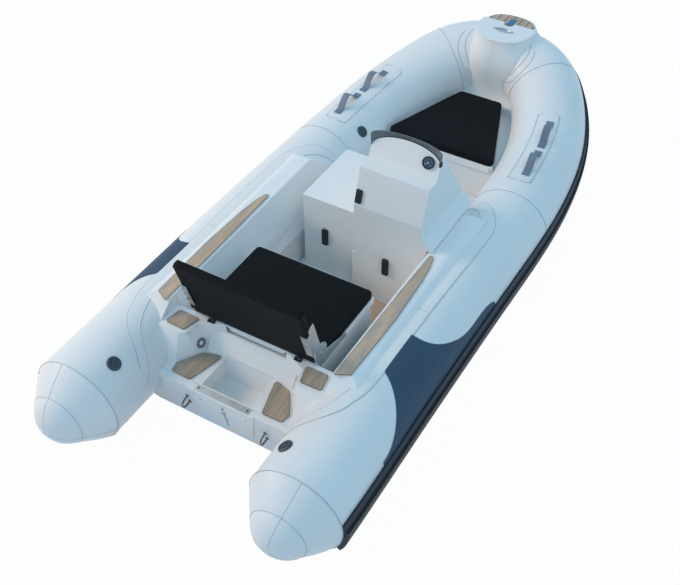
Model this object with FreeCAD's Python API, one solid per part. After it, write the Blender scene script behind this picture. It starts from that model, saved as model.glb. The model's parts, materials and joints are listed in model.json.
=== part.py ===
import FreeCAD, Part
import math
import os

# Small rigid inflatable boat, in millimetres.
# +X to the bow, +Y to port, +Z up. The origin is on the centreline at the
# waterline, below the top edge of the transom.

V = FreeCAD.Vector

# Clearances
FIT_GAP = 0.3                       # between pieces that only lie together
RUN_GAP = 5.0                       # beside a piece that moves
GLUE_GAP = 0.8                      # glue line between the tubes and the moulding
BIG = 2000.0                        # longer than any piece that is cut

# Levels, from the axis of the side tubes
AXIS_Z = 260.0                      # above the waterline
FLOOR_Z = AXIS_Z - 200.0
LEDGE_Z = AXIS_Z - 10.0
STERN_DECK_Z = AXIS_Z + 35.0
STEP_Z = AXIS_Z + 178.0
SIDE_DECK_Z = AXIS_Z + 250.0
SEAM_Z = AXIS_Z + 70.0
BOW_DECK_Z = AXIS_Z + 40.0

# Inflatable tubes
TUBE_R = 227.0
BOW_TUBE_R = 212.0
HALF_SPACING = 585.0
TUBE_AFT_X = -295.0
CONE_RING_X = -427.0
CONE_RING_R = 136.0
CONE_TIP_X = -512.0
TUBE_JOIN_X = 1950.0
BOW_TUBE_X = 3069.0
BOW_RISE = 184.0
MIDSHIP_DIP = 39.0

# Rub strake, as angles round the tube: 0 outboard, 90 on top
STRAKE_TOP_DEG = 13.0
STRAKE_MID_DEG = 2.0
STRAKE_LOW_DEG = -34.0
STRAKE_T = 24.0
STRAKE_STEP_T = 12.0
STRAKE_AFT_X = -290.0
PANEL_T = 2.0
PANEL_AFT_X = 57.0
PANEL_FULL_X = 382.0
PANEL_SHOULDER_X = 640.0
PANEL_FWD_X = 1180.0
PANEL_TOP_DEG = 80.0

# Hull
KEEL_DROP = 430.0
KEEL_Z = AXIS_Z - KEEL_DROP
KEEL_RISE_X = 2200.0
STEM_X = 3085.0
STEM_Z = AXIS_Z - 25.0
CHINE_INSET = 95.0
CHINE_DROP = 12.0
SOLE_T = 15.0
WALL_INSET = 14.0                   # cockpit wall, inboard of the tube's inner side
COCKPIT_HALF = HALF_SPACING - TUBE_R - WALL_INSET
COCKPIT_FWD_X = 2770.0
WALL_FLARE = 0.4                    # outward slope of the cockpit wall

# Transom
TRANSOM_RAKE = 0.217                # forward run per unit of drop
TRANSOM_T = 34.0
MOTOR_PAD_T = 6.0
MOTOR_PAD_TOP_HALF = 178.0
MOTOR_PAD_LOW_HALF = 132.0
MOTOR_PAD_LOW_Z = AXIS_Z - 190.0
MOTOR_BOLT_R = 6.5
MOTOR_BOLT_DEPTH = 60.0
UPPER_BOLT_Y = 125.5
UPPER_BOLT_Z = AXIS_Z - 28.0
LOWER_BOLT_Y = 80.5
LOWER_BOLT_Z = AXIS_Z - 203.5
PLATE_HALF = UPPER_BOLT_Y + 22.5
PLATE_T = 3.0
EYE_Y = MOTOR_PAD_TOP_HALF + 40.0
EYE_Z = AXIS_Z - 100.0
EYE_ROD_R = 4.5
EYE_HALF = 25.0
EYE_REACH = 48.0
PLUG_R = 16.0
PLUG_Z = KEEL_Z + 48.0

# Motor well and steps at the stern
WELL_HALF = COCKPIT_HALF * 0.392
WELL_WALL = 9.0
WELL_FWD_X = 235.0
WELL_Z = AXIS_Z - 80.0
STERN_FWD_X = 300.0
SADDLE_Z = AXIS_Z + 138.0
STEP_OUTER_Y = HALF_SPACING - 140.0
DRAIN_R = 26.0
DRAIN_T = 5.0

# Side decks
DECK_ROUND = 14.0                   # height of the rounded inner edge
DECK_INNER_Y = COCKPIT_HALF + WALL_FLARE * (SIDE_DECK_Z - DECK_ROUND - LEDGE_Z)
DECK_OUTER_Y = HALF_SPACING - 50.0
DECK_AFT_X = 40.0
DECK_FULL_X = 262.0
DECK_SLOPE_X = 1500.0
DECK_TIP_X = 1790.0
DECK_TIP_Z = AXIS_Z + 30.0

# Bench seat
BENCH_AFT_X = 310.0
BENCH_FWD_X = 800.0
BENCH_HALF = COCKPIT_HALF - 19.0
BENCH_WALL = 8.0
LID_Z = AXIS_Z + 172.0
LID_T = 12.0
LID_WALL = 6.0
LID_AFT_X = 304.0
LID_SKIRT = 34.0
LID_AFT_SKIRT_HALF = WELL_HALF + 7.0
LID_AFT_SKIRT = 24.0
LID_HALF = BENCH_HALF + RUN_GAP + LID_WALL
LID_FWD_X = BENCH_FWD_X + RUN_GAP + LID_WALL
CUSHION_AFT_X = 372.0
CUSHION_HALF = BENCH_HALF + 5.0
CUSHION_T = 42.0
CUSHION_CORNER_R = 26.0

# Bench hinges: knuckles above the step, one on each side
HINGE_X = 291.0
HINGE_Z = STEP_Z + 5.5
HINGE_Y = COCKPIT_HALF * 0.692
HINGE_HALF = 19.0
KNUCKLE_R = 4.5
HINGE_PIN_R = 2.5
LEAF_T = 2.5
PIN_PLAY = 0.1

# Backrest and its brackets
PIVOT_X = 318.0
PIVOT_Z = AXIS_Z + 252.0
PIVOT_R = 5.0
BRACKET_T = 4.0
BRACKET_HEAD_R = 50.0
BRACKET_TIP_X = 534.0
ARM_T = 3.5
ARM_PLAY = 0.5
ARM_LENGTH = 222.0
ARM_W = 44.0
BACKREST_T = 42.0
BACKREST_BELOW = 45.0
BACKREST_ABOVE = 350.0
BACKREST_LEAN = 16.0
BACKREST_EDGE_R = 8.0
BACKREST_HALF = LID_HALF - ARM_PLAY - ARM_T - FIT_GAP
BACKREST_FACE_X = PIVOT_X - 4.0

# Console: a hood with a box beside it, tilting on a fixed base
CONSOLE_AFT_X = 1143.0
BOX_AFT_X = 1190.0
CONSOLE_FWD_X = 1640.0
CONSOLE_W = 375.0
CONSOLE_STBD_Y = -COCKPIT_HALF - 61.0
CONSOLE_PORT_Y = CONSOLE_STBD_Y + CONSOLE_W
CONSOLE_MIDDLE_Y = CONSOLE_STBD_Y + CONSOLE_W / 2
LIP_Y = CONSOLE_STBD_Y - 63.0
LIP_TOP_Z = AXIS_Z + 312.0
LIP_T = 4.0
BOX_PORT_Y = COCKPIT_HALF - 44.0
BOX_MIDDLE_Y = CONSOLE_PORT_Y + (BOX_PORT_Y - CONSOLE_PORT_Y) * 0.6
BOX_TOP_Z = AXIS_Z + 285.0
HOOD_WALL = 6.0
BASE_WALL = 8.0
HOOD_TILT = 40.0
HOOD_PIN_X = CONSOLE_FWD_X + LEAF_T + KNUCKLE_R + 0.5
DASH_FOOT = (CONSOLE_AFT_X + 150.0, AXIS_Z + 602.0)
DASH_TOP = (CONSOLE_AFT_X + 201.0, AXIS_Z + 706.0)
ARCH_Z = AXIS_Z + 640.0             # where the dash's sides turn into its arched top
SCREEN_T = 4.0
SCREEN_H = 52.0
SCREEN_FLARE = 10.0
GAUGE_R = 31.0
GAUGE_Y = CONSOLE_MIDDLE_Y - 124.5
GAUGE_T = 10.0
GAUGE_RIM = 5.0
SWITCH_W = 34.0
SWITCH_H = 72.0
SWITCH_T = 7.0
SWITCH_SHARE = 0.25                 # of the way up the slope
LATCH_W = 34.0
LATCH_H = 102.0
LATCH_T = 13.0

# Bow seat
BOW_SEAT_AFT_X = 2190.0
BOW_SEAT_FWD_X = 2762.0
BOW_SEAT_AFT_HALF = COCKPIT_HALF - 2.0
BOW_SEAT_FWD_HALF = COCKPIT_HALF * 0.4
BOW_LID_Z = AXIS_Z + 45.0
BOW_LID_T = 12.0
BOW_LID_SKIRT = 48.0
BOW_LID_OVER = 12.0
BOW_CUSHION_T = 45.0
BOW_WALL = 8.0
BOW_HINGE_Y = BOW_SEAT_FWD_HALF * 0.58
BOW_PIN_X = BOW_SEAT_FWD_X + 8.0

# Bow fitting
NOSE_TOP_Z = AXIS_Z + 418.0
NOSE_HALF = 168.0
NOSE_AFT_X = 2862.0
NOSE_FWD_X = 3100.0
NOSE_LIP_X = 3225.0
NOSE_STEP_DROP = 16.0
NOTCH_HALF = 30.0
NOTCH_DEPTH = 42.0
STRAP_HALF = 16.0
PAD_T = 6.0
FLOOR_PAD_AFT_GAP = 30.0            # from the bench to the floor pad
FLOOR_PAD_FWD_GAP = 60.0            # from the floor pad to the locker box
FLOOR_PAD_SIDE_GAP = 39.0

# Fittings on the tubes
VALVE_R = 34.0
VALVE_H = 9.0
VALVE_DEPTH = 14.0                  # of the pocket in the tube
AFT_VALVE_X = -155.0
AFT_VALVE_DEG = 125.0
FWD_VALVE_X = 2027.0
FWD_VALVE_DEG = 136.0
HANDLE_W = 42.0
HANDLE_T = 4.0
HANDLE_RISE = 60.0
HANDLE_FOOT = 0.14                  # share of the length that lies on the tube


def polygon(points):
    return Part.Face(Part.makePolygon(points + [points[0]]))


def prism(points, direction):
    return polygon(points).extrude(direction)


def prism_y(profile, y0, y1):
    """Profile of (x, z) pairs, extruded from y0 to y1."""
    return prism([V(x, y0, z) for x, z in profile], V(0, y1 - y0, 0))


def prism_x(section, x0, x1):
    """Section of (y, z) pairs, extruded from x0 to x1."""
    return prism([V(x0, y, z) for y, z in section], V(x1 - x0, 0, 0))


def box(x0, x1, y0, y1, z0, z1):
    return Part.makeBox(x1 - x0, y1 - y0, z1 - z0, V(x0, y0, z0))


def rod(p0, p1, r):
    return Part.makeCylinder(r, (p1 - p0).Length, p0, p1 - p0)


def mirrored(shape):
    return shape.mirror(V(0, 0, 0), V(0, 1, 0))


def both_sides(shape):
    return Part.makeCompound([shape, mirrored(shape)])


def one_solid(shape):
    return max(shape.Solids, key=lambda s: s.Volume)


def is_upright(edge):
    a, b = edge.Vertexes[0].Point, edge.Vertexes[-1].Point
    return math.hypot(a.x - b.x, a.y - b.y) < 0.01


def rounded_corners(slab, r):
    return slab.makeFillet(r, [e for e in slab.Edges if is_upright(e)])


def cut_all(shape, tools):
    for tool in tools:
        shape = shape.cut(tool)
    return one_solid(shape)


def turned(shape, x, z, degrees):
    """Copy turned about an athwartships pin at x, z."""
    copy = shape.copy()
    copy.rotate(V(x, 0, z), V(0, 1, 0), degrees)
    return copy


def save(name, shape):
    shape.exportStep("parts/%s.step" % name)


# Tube centreline on the port side: a spline from the stern to the bow
def tube_path():
    poles = [V(TUBE_AFT_X - 14, HALF_SPACING, AXIS_Z),
             V(400, HALF_SPACING, AXIS_Z),
             V(850, HALF_SPACING + 2, AXIS_Z),
             V(1350, HALF_SPACING + 4, AXIS_Z - MIDSHIP_DIP * 0.25),
             V(1934, HALF_SPACING + 7, AXIS_Z - MIDSHIP_DIP),
             V(2476, HALF_SPACING - 30, AXIS_Z - MIDSHIP_DIP * 0.2),
             V(2865, HALF_SPACING - 175, AXIS_Z + BOW_RISE * 0.48),
             V(BOW_TUBE_X, HALF_SPACING - 347, AXIS_Z + BOW_RISE),
             V(BOW_TUBE_X, 0, AXIS_Z + BOW_RISE)]
    curve = Part.BSplineCurve()
    curve.buildFromPoles(poles, False, 3)
    return curve


PATH = tube_path()
U_BOW = PATH.LastParameter


def u_at_x(x):
    """Parameter of the centreline where it passes x, by halving."""
    lo, hi = PATH.FirstParameter, U_BOW
    for _ in range(50):
        mid = (lo + hi) / 2
        if PATH.value(mid).x < x:
            lo = mid
        else:
            hi = mid
    return (lo + hi) / 2


U_AFT = u_at_x(TUBE_AFT_X)
U_JOIN = u_at_x(TUBE_JOIN_X)


def spread(first, last, count):
    return [first + (last - first) * i / (count - 1) for i in range(count)]


def tube_radius(x):
    share = (x - TUBE_JOIN_X) / (BOW_TUBE_X - TUBE_JOIN_X)
    return TUBE_R + (BOW_TUBE_R - TUBE_R) * min(max(share, 0.0), 1.0)


def tube_frame(u):
    """Centre, direction ahead, direction outboard and direction up."""
    centre = PATH.value(u)
    ahead = V(*PATH.tangent(u)[0])
    out = V(0, 0, 1).cross(ahead).normalize() * -1.0
    if out.dot(V(0.3, 1, 0)) < 0:
        out = out * -1.0
    above = out.cross(ahead)
    if above.z < 0:
        above = above * -1.0
    return centre, ahead, out, above


def tube_point(u, degrees, lift=0.0):
    """Point on the tube: 0 degrees outboard, 90 on top, 180 inboard."""
    centre, ahead, out, above = tube_frame(u)
    r = tube_radius(centre.x) + lift
    a = math.radians(degrees)
    return centre + out * (r * math.cos(a)) + above * (r * math.sin(a))


def tube_ring(u, lift=0.0):
    centre, ahead, out, above = tube_frame(u)
    return Part.Wire([Part.Circle(centre, ahead, tube_radius(centre.x) + lift).toShape()])


def side_tube(lift=0.0, u_end=None):
    rings = [tube_ring(u, lift) for u in spread(U_AFT, u_end or U_JOIN, 8)]
    return Part.makeLoft(rings, True, False)


def bow_tube(lift=0.0):
    rings = [tube_ring(u, lift) for u in spread(U_JOIN, U_BOW, 9)]
    rings += [mirrored(ring) for ring in reversed(rings[:-1])]
    return Part.makeLoft(rings, True, False)


def tube_envelope(gap):
    """Room that the other pieces leave for the tubes."""
    side = side_tube(gap, U_JOIN + 0.002)
    return [side, mirrored(side), bow_tube(gap)]


def stern_cone():
    centre = PATH.value(U_AFT)
    root_x = centre.x - FIT_GAP
    cap = CONE_RING_X - CONE_TIP_X
    cap_r = (cap ** 2 + CONE_RING_R ** 2) / (2 * cap)
    cap_x = CONE_TIP_X + cap_r
    half_way = math.asin(CONE_RING_R / cap_r) / 2
    ring = V(CONE_RING_X, 0, CONE_RING_R)
    tip = V(CONE_TIP_X, 0, 0)
    middle = V(cap_x - cap_r * math.cos(half_way), 0, cap_r * math.sin(half_way))
    edges = [Part.LineSegment(V(root_x, 0, TUBE_R), ring).toShape(),
             Part.Arc(ring, middle, tip).toShape(),
             Part.LineSegment(tip, V(root_x, 0, 0)).toShape(),
             Part.LineSegment(V(root_x, 0, 0), V(root_x, 0, TUBE_R)).toShape()]
    cone = Part.Face(Part.Wire(edges)).revolve(V(0, 0, 0), V(1, 0, 0), 360)
    cone.translate(V(0, centre.y, centre.z))
    return cone


def strip_wire(u, corners):
    """Closed section on the tube from corners of (degrees, lift): arcs where the lift stays."""
    edges = []
    for (a0, h0), (a1, h1) in zip(corners, corners[1:] + corners[:1]):
        start, end = tube_point(u, a0, h0), tube_point(u, a1, h1)
        if h0 == h1:
            edges.append(Part.Arc(start, tube_point(u, (a0 + a1) / 2, h0), end).toShape())
        else:
            edges.append(Part.LineSegment(start, end).toShape())
    return Part.Wire(edges)


def strake(envelope):
    root = -STRAKE_T / 4
    corners = [(STRAKE_TOP_DEG, root), (STRAKE_TOP_DEG, STRAKE_STEP_T),
               (STRAKE_MID_DEG, STRAKE_STEP_T), (STRAKE_MID_DEG, STRAKE_T),
               (STRAKE_LOW_DEG, STRAKE_T), (STRAKE_LOW_DEG, root)]
    wires = [strip_wire(u, corners) for u in spread(u_at_x(STRAKE_AFT_X), U_BOW, 16)]
    return cut_all(Part.makeLoft(wires, True, False), [envelope[0], envelope[2]])


def panel_y(degrees):
    return HALF_SPACING + TUBE_R * math.cos(math.radians(degrees))


def side_panel(inner, strake_shape):
    """Fabric panel on the tube above the strake, bounded by curves in plan."""
    low_y = panel_y(STRAKE_TOP_DEG)
    top_y = panel_y(PANEL_TOP_DEG)
    bend = V(PANEL_AFT_X + 216, low_y - 62, 0)
    rising = Part.Arc(V(PANEL_AFT_X, low_y, 0), bend, V(PANEL_FULL_X, top_y, 0))
    top = Part.LineSegment(V(PANEL_FULL_X, top_y, 0), V(PANEL_SHOULDER_X, top_y, 0))
    falling = Part.BSplineCurve()
    falling.interpolate([V(PANEL_SHOULDER_X, top_y, 0), V(PANEL_SHOULDER_X + 22, low_y - 96, 0),
                         V(PANEL_SHOULDER_X + 112, low_y - 41, 0), V(PANEL_FWD_X - 272, low_y - 13, 0),
                         V(PANEL_FWD_X, low_y, 0)])
    outside = [V(PANEL_FWD_X, low_y, 0), V(PANEL_FWD_X, low_y + TUBE_R, 0),
               V(PANEL_AFT_X, low_y + TUBE_R, 0), V(PANEL_AFT_X, low_y, 0)]
    edges = [curve.toShape() for curve in (rising, top, falling)]
    edges += [Part.LineSegment(a, b).toShape() for a, b in zip(outside, outside[1:])]
    column = Part.Face(Part.Wire(edges)).extrude(V(0, 0, BIG))
    column.translate(V(0, 0, AXIS_Z))
    skin = side_tube(PANEL_T).cut(inner)
    return one_solid(skin.common(column).cut(strake_shape))


# Hull
def keel_z(x):
    """Straight keel that sweeps up to the stem on a quarter ellipse."""
    share = min(max((x - KEEL_RISE_X) / (STEM_X - KEEL_RISE_X), 0.0), 1.0)
    return KEEL_Z + (STEM_Z - KEEL_Z) * (1 - math.sqrt(1 - share ** 2))


def hull_section(x):
    centre, ahead, out, above = tube_frame(u_at_x(x))
    share = max(0.0, (x - KEEL_RISE_X) / (STEM_X + 10 - KEEL_RISE_X))
    slim = math.sqrt(1 - share ** 2)
    chine_y = (centre.y - CHINE_INSET) * slim
    chine_z = centre.z - tube_radius(x) - CHINE_DROP
    chine_z += (keel_z(x) - KEEL_Z) * 0.35
    top_z = centre.z + 8
    flange_y = centre.y * slim
    points = [V(x, 0, keel_z(x)), V(x, chine_y, chine_z), V(x, flange_y, top_z),
              V(x, -flange_y, top_z), V(x, -chine_y, chine_z)]
    return Part.makePolygon(points + [points[0]])


def transom_x(z):
    return (STERN_DECK_Z - z) * TRANSOM_RAKE


TRANSOM_OUT = V(-1, 0, -TRANSOM_RAKE).normalize()


def on_transom(y, z, out=0.0):
    return V(transom_x(z), y, z) + TRANSOM_OUT * out


def hull_stations():
    return [-20.0] + spread(300.0, 2100.0, 7) + spread(2250.0, STEM_X - 85, 6) + [STEM_X - 25]


def motor_pad():
    top, low = STERN_DECK_Z - FIT_GAP, MOTOR_PAD_LOW_Z
    outline = [on_transom(-MOTOR_PAD_TOP_HALF, top, -1), on_transom(MOTOR_PAD_TOP_HALF, top, -1),
               on_transom(MOTOR_PAD_LOW_HALF, low, -1), on_transom(-MOTOR_PAD_LOW_HALF, low, -1)]
    pad = prism(outline, TRANSOM_OUT * (MOTOR_PAD_T + 1))
    groove = rod(on_transom(0, STERN_DECK_Z - 34, MOTOR_PAD_T + 3),
                 on_transom(0, AXIS_Z - 142, MOTOR_PAD_T + 3), 7.0)
    return pad.cut(groove)


def motor_bolt_holes():
    places = [(UPPER_BOLT_Y, UPPER_BOLT_Z), (LOWER_BOLT_Y, LOWER_BOLT_Z)]
    return [rod(on_transom(side * y, z, MOTOR_PAD_T + 5), on_transom(side * y, z, -MOTOR_BOLT_DEPTH),
                MOTOR_BOLT_R) for y, z in places for side in (-1, 1)]


def inner_transom(low_z, high_z, extra=0.0):
    """Aft edge of what lies inside the transom, as (x, z) from low to high."""
    return [(transom_x(low_z) + TRANSOM_T + extra, low_z), (transom_x(high_z) + TRANSOM_T + extra, high_z)]


def seat_half(x):
    """Half width of the bow seat at x."""
    share = (x - BOW_SEAT_AFT_X) / (BOW_SEAT_FWD_X - BOW_SEAT_AFT_X)
    return BOW_SEAT_AFT_HALF + (BOW_SEAT_FWD_HALF - BOW_SEAT_AFT_HALF) * share


def cockpit_block(z0, z1, inset):
    """Room inside the cockpit walls between two heights, narrowing to the bow with the seat."""
    half = COCKPIT_HALF - inset
    fwd_half = seat_half(COCKPIT_FWD_X) + COCKPIT_HALF - BOW_SEAT_AFT_HALF - inset
    port = [V(-BIG, half, z0), V(BOW_SEAT_AFT_X, half, z0), V(COCKPIT_FWD_X - inset, fwd_half, z0)]
    starboard = [V(p.x, -p.y, p.z) for p in reversed(port)]
    block = prism(port + starboard, V(0, 0, z1 - z0))
    edge = inner_transom(z0, z1, 3 * inset)
    return block.cut(prism_y([edge[0], edge[1], (-2 * BIG, z1), (-2 * BIG, z0)], -BIG, BIG))


def hull(envelope):
    body = Part.makeLoft([hull_section(x) for x in hull_stations()], True, False)
    edge = inner_transom(LEDGE_Z, STERN_DECK_Z)
    head = prism_y([(-40, LEDGE_Z - 10), (edge[0][0], LEDGE_Z - 10), edge[1], (-40, STERN_DECK_Z)],
                   -HALF_SPACING, HALF_SPACING)
    body = body.fuse(head)
    above, below = STERN_DECK_Z + 60, KEEL_Z - 60
    aft = prism_y([(-BIG, above), (transom_x(above), above), (transom_x(below), below), (-BIG, below)],
                  -BIG, BIG)
    body = body.cut(aft).fuse(motor_pad())
    cockpit = cockpit_block(FLOOR_Z - SOLE_T, STERN_DECK_Z + 60, 0.0)
    edge = inner_transom(LEDGE_Z, BIG)
    above_ledge = prism_y([edge[0], (COCKPIT_FWD_X, LEDGE_Z), (COCKPIT_FWD_X, BIG), edge[1]], -BIG, BIG)
    above_bow = box(COCKPIT_FWD_X, BIG * 2, -BIG, BIG, BOW_DECK_Z, BIG)
    return cut_all(body, [cockpit, above_ledge, above_bow] + motor_bolt_holes() + envelope)


def cockpit_floor():
    return cockpit_block(FLOOR_Z - SOLE_T, FLOOR_Z, FIT_GAP)


# Stern deck: splash deck with the motor well, and a step on each side
def across(corners):
    """Corners given as x and a share of the cockpit's half width."""
    return [(x, share * COCKPIT_HALF) for x, share in corners]


def step_outline(z, foot):
    if foot:
        inner = [(STERN_FWD_X, 0.436), (262, 0.715), (182, 0.756), (96, 0.945)]
        outer_x = 70
    else:
        inner = [(STERN_FWD_X, 0.488), (246, 0.831), (166, 0.872), (150, 0.959)]
        outer_x = 150
    corners = across(inner) + [(outer_x, STEP_OUTER_Y), (STERN_FWD_X, STEP_OUTER_Y)]
    return [V(x, y, z) for x, y in corners]


def step():
    low, high = step_outline(STERN_DECK_Z - 1, True), step_outline(STEP_Z, False)
    wires = [Part.makePolygon(points + [points[0]]) for points in (low, high)]
    return Part.makeLoft(wires, True, True)


def stern_deck(envelope):
    half = COCKPIT_HALF - 1
    edge = inner_transom(FLOOR_Z, LEDGE_Z, 1)
    low = prism_y([edge[0], (STERN_FWD_X, FLOOR_Z), (STERN_FWD_X, LEDGE_Z), edge[1]], -half, half)
    edge = inner_transom(LEDGE_Z, STERN_DECK_Z, 1)
    deck = prism_y([edge[0], (STERN_FWD_X, LEDGE_Z), (STERN_FWD_X, STERN_DECK_Z), edge[1]],
                   -STEP_OUTER_Y, STEP_OUTER_Y)
    saddle = prism_y([(WELL_FWD_X - 10, STERN_DECK_Z - 1), (STERN_FWD_X, STERN_DECK_Z - 1),
                      (STERN_FWD_X, SADDLE_Z), (STERN_FWD_X - 12, SADDLE_Z),
                      (WELL_FWD_X + 5, STERN_DECK_Z + 22)], -HINGE_Y, HINGE_Y)
    body = low.fuse([deck, saddle, step(), mirrored(step())])
    edge = inner_transom(WELL_Z, BIG, 1 + WELL_WALL)
    profile = [edge[0], (WELL_FWD_X - 18, WELL_Z), (WELL_FWD_X, STERN_DECK_Z), (WELL_FWD_X, BIG), edge[1]]
    well = prism_y(profile, -WELL_HALF, WELL_HALF)
    return cut_all(body, [well] + envelope)


def side_deck(envelope):
    base_z = LEDGE_Z + FIT_GAP
    shoulder_z = SIDE_DECK_Z - DECK_ROUND
    top = SIDE_DECK_Z
    section = [(COCKPIT_HALF, base_z), (DECK_INNER_Y, shoulder_z), (DECK_INNER_Y + 3, top - 4),
               (DECK_INNER_Y + 9, top), (DECK_OUTER_Y, top), (DECK_OUTER_Y + 18, top - 6),
               (DECK_OUTER_Y + 45, top - 30), (DECK_OUTER_Y + 45, base_z)]
    body = prism_x(section, STERN_FWD_X + 1, DECK_TIP_X)
    wing = prism_x(section, DECK_AFT_X, STERN_FWD_X + 1)
    wing = wing.cut(box(0, STERN_FWD_X + 1, 0, STEP_OUTER_Y + FIT_GAP, 0, BIG))
    body = body.fuse(wing)
    ramp = prism_y([(DECK_AFT_X - 30, STERN_DECK_Z + 20), (DECK_FULL_X, SIDE_DECK_Z + 1), (DECK_FULL_X, BIG),
                    (DECK_AFT_X - 30, BIG)], 0, BIG)
    fall = prism_y([(DECK_SLOPE_X, SIDE_DECK_Z + 1), (DECK_TIP_X + 1, DECK_TIP_Z), (DECK_TIP_X + 1, BIG),
                    (DECK_SLOPE_X, BIG)], 0, BIG)
    return cut_all(body, [ramp, fall] + envelope)


# Bench seat
def bench_base():
    rim_z = LID_Z - LID_T - FIT_GAP
    outer = box(BENCH_AFT_X, BENCH_FWD_X, -BENCH_HALF, BENCH_HALF, FLOOR_Z + FIT_GAP, rim_z)
    half = BENCH_HALF - BENCH_WALL
    locker = box(BENCH_AFT_X + BENCH_WALL, BENCH_FWD_X - BENCH_WALL, -half, half, FLOOR_Z + BENCH_WALL, BIG)
    low_wall_z = LID_Z - LID_AFT_SKIRT - 2 * RUN_GAP
    aft_wall = box(0, BENCH_AFT_X + BENCH_WALL, -BIG, BIG, low_wall_z, BIG)
    return cut_all(outer, [locker, aft_wall])


def bench_lid():
    top = box(LID_AFT_X, LID_FWD_X, -LID_HALF, LID_HALF, LID_Z - LID_T, LID_Z)
    skirt = box(BENCH_AFT_X + 10, LID_FWD_X, -LID_HALF, LID_HALF, LID_Z - LID_SKIRT, LID_Z - LID_T)
    room = box(0, LID_FWD_X - LID_WALL, LID_WALL - LID_HALF, LID_HALF - LID_WALL, 0, LID_Z - LID_T)
    skirt = skirt.cut(room)
    drop = LID_Z - LID_AFT_SKIRT
    aft = prism_x([(-LID_AFT_SKIRT_HALF - 22, LID_Z - LID_T), (LID_AFT_SKIRT_HALF + 22, LID_Z - LID_T),
                   (LID_AFT_SKIRT_HALF, drop), (-LID_AFT_SKIRT_HALF, drop)], LID_AFT_X, LID_AFT_X + 5)
    return one_solid(top.fuse([skirt, aft]))


def bench_cushion():
    slab = box(CUSHION_AFT_X, LID_FWD_X + 2, -CUSHION_HALF, CUSHION_HALF, LID_Z + FIT_GAP, LID_Z + CUSHION_T)
    return rounded_corners(slab, CUSHION_CORNER_R)


def knuckles(x, y, z, spans, r, bore):
    pieces = [rod(V(x, y + a, z), V(x, y + b, z), r) for a, b in spans]
    if bore:
        pieces = [piece.cut(rod(V(x, y - 99, z), V(x, y + 99, z), bore)) for piece in pieces]
    return pieces


def bench_hinge_base():
    """Leaf on the step with the two outer knuckles."""
    third = HINGE_HALF * 2 / 3
    leaf = box(HINGE_X - 16, HINGE_X - KNUCKLE_R + 1.5, HINGE_Y - HINGE_HALF, HINGE_Y + HINGE_HALF,
               STEP_Z, STEP_Z + LEAF_T)
    web = box(HINGE_X - KNUCKLE_R, HINGE_X, HINGE_Y - HINGE_HALF, HINGE_Y + HINGE_HALF, STEP_Z, HINGE_Z)
    middle = box(HINGE_X - KNUCKLE_R - 1, HINGE_X + 9, HINGE_Y - third / 2 - 0.5, HINGE_Y + third / 2 + 0.5,
                 STEP_Z, BIG)
    spans = [(-HINGE_HALF, -third / 2 - 0.5), (third / 2 + 0.5, HINGE_HALF)]
    bore = rod(V(HINGE_X, 0, HINGE_Z), V(HINGE_X, BIG, HINGE_Z), HINGE_PIN_R + PIN_PLAY)
    outer = knuckles(HINGE_X, HINGE_Y, HINGE_Z, spans, KNUCKLE_R, 0)
    return one_solid(leaf.fuse(web).cut(middle).fuse(outer).cut(bore))


def bench_hinge_leaf():
    """Leaf on the lid with the middle knuckle and the pin."""
    third = HINGE_HALF * 2 / 3
    reach = [(HINGE_X, HINGE_Z - KNUCKLE_R + 1), (LID_AFT_X - 2, HINGE_Z - KNUCKLE_R + 1),
             (LID_AFT_X + 2, LID_Z), (LID_AFT_X + 18, LID_Z), (LID_AFT_X + 18, LID_Z + LEAF_T),
             (LID_AFT_X + 4, LID_Z + LEAF_T), (LID_AFT_X, HINGE_Z + 1), (HINGE_X, HINGE_Z + KNUCKLE_R - 0.5)]
    leaf = prism_y(reach, HINGE_Y - third / 2, HINGE_Y + third / 2)
    y0, y1 = HINGE_Y - HINGE_HALF, HINGE_Y + HINGE_HALF
    plate = box(LID_AFT_X + 3, LID_AFT_X + 18, y0, y1, LID_Z, LID_Z + LEAF_T)
    middle = knuckles(HINGE_X, HINGE_Y, HINGE_Z, [(-third / 2, third / 2)], KNUCKLE_R, 0)
    pin = rod(V(HINGE_X, y0, HINGE_Z), V(HINGE_X, y1, HINGE_Z), HINGE_PIN_R)
    return one_solid(leaf.fuse([plate, pin] + middle))


# Backrest, leaning aft on two arms that turn on the seat brackets
def lean(shape):
    return turned(shape, PIVOT_X, PIVOT_Z, -BACKREST_LEAN)


def backrest():
    slab = box(BACKREST_FACE_X - BACKREST_T, BACKREST_FACE_X, -BACKREST_HALF, BACKREST_HALF,
               PIVOT_Z - BACKREST_BELOW, PIVOT_Z + BACKREST_ABOVE)
    long_edges = [e for e in slab.Edges if abs(e.Vertexes[0].Point.y - e.Vertexes[-1].Point.y) > 1]
    return lean(slab.makeFillet(BACKREST_EDGE_R, long_edges))


def seat_bracket():
    """Side plate on the lid's edge, with a round head about the pivot."""
    y0, y1 = LID_HALF, LID_HALF + BRACKET_T
    foot_z = LID_Z - LID_T
    foot = [(LID_AFT_X + 11, foot_z), (BRACKET_TIP_X, foot_z), (BRACKET_TIP_X, LID_Z + 9),
            (PIVOT_X + 42, LID_Z + 56), (PIVOT_X + BRACKET_HEAD_R - 6, PIVOT_Z - 10),
            (PIVOT_X - BRACKET_HEAD_R + 1, PIVOT_Z - 8)]
    head = rod(V(PIVOT_X, y0, PIVOT_Z), V(PIVOT_X, y1, PIVOT_Z), BRACKET_HEAD_R)
    bore = rod(V(PIVOT_X, y0 - 1, PIVOT_Z), V(PIVOT_X, y1 + 1, PIVOT_Z), PIVOT_R + PIN_PLAY)
    return one_solid(prism_y(foot, y0, y1).fuse(head).cut(bore))


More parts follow.
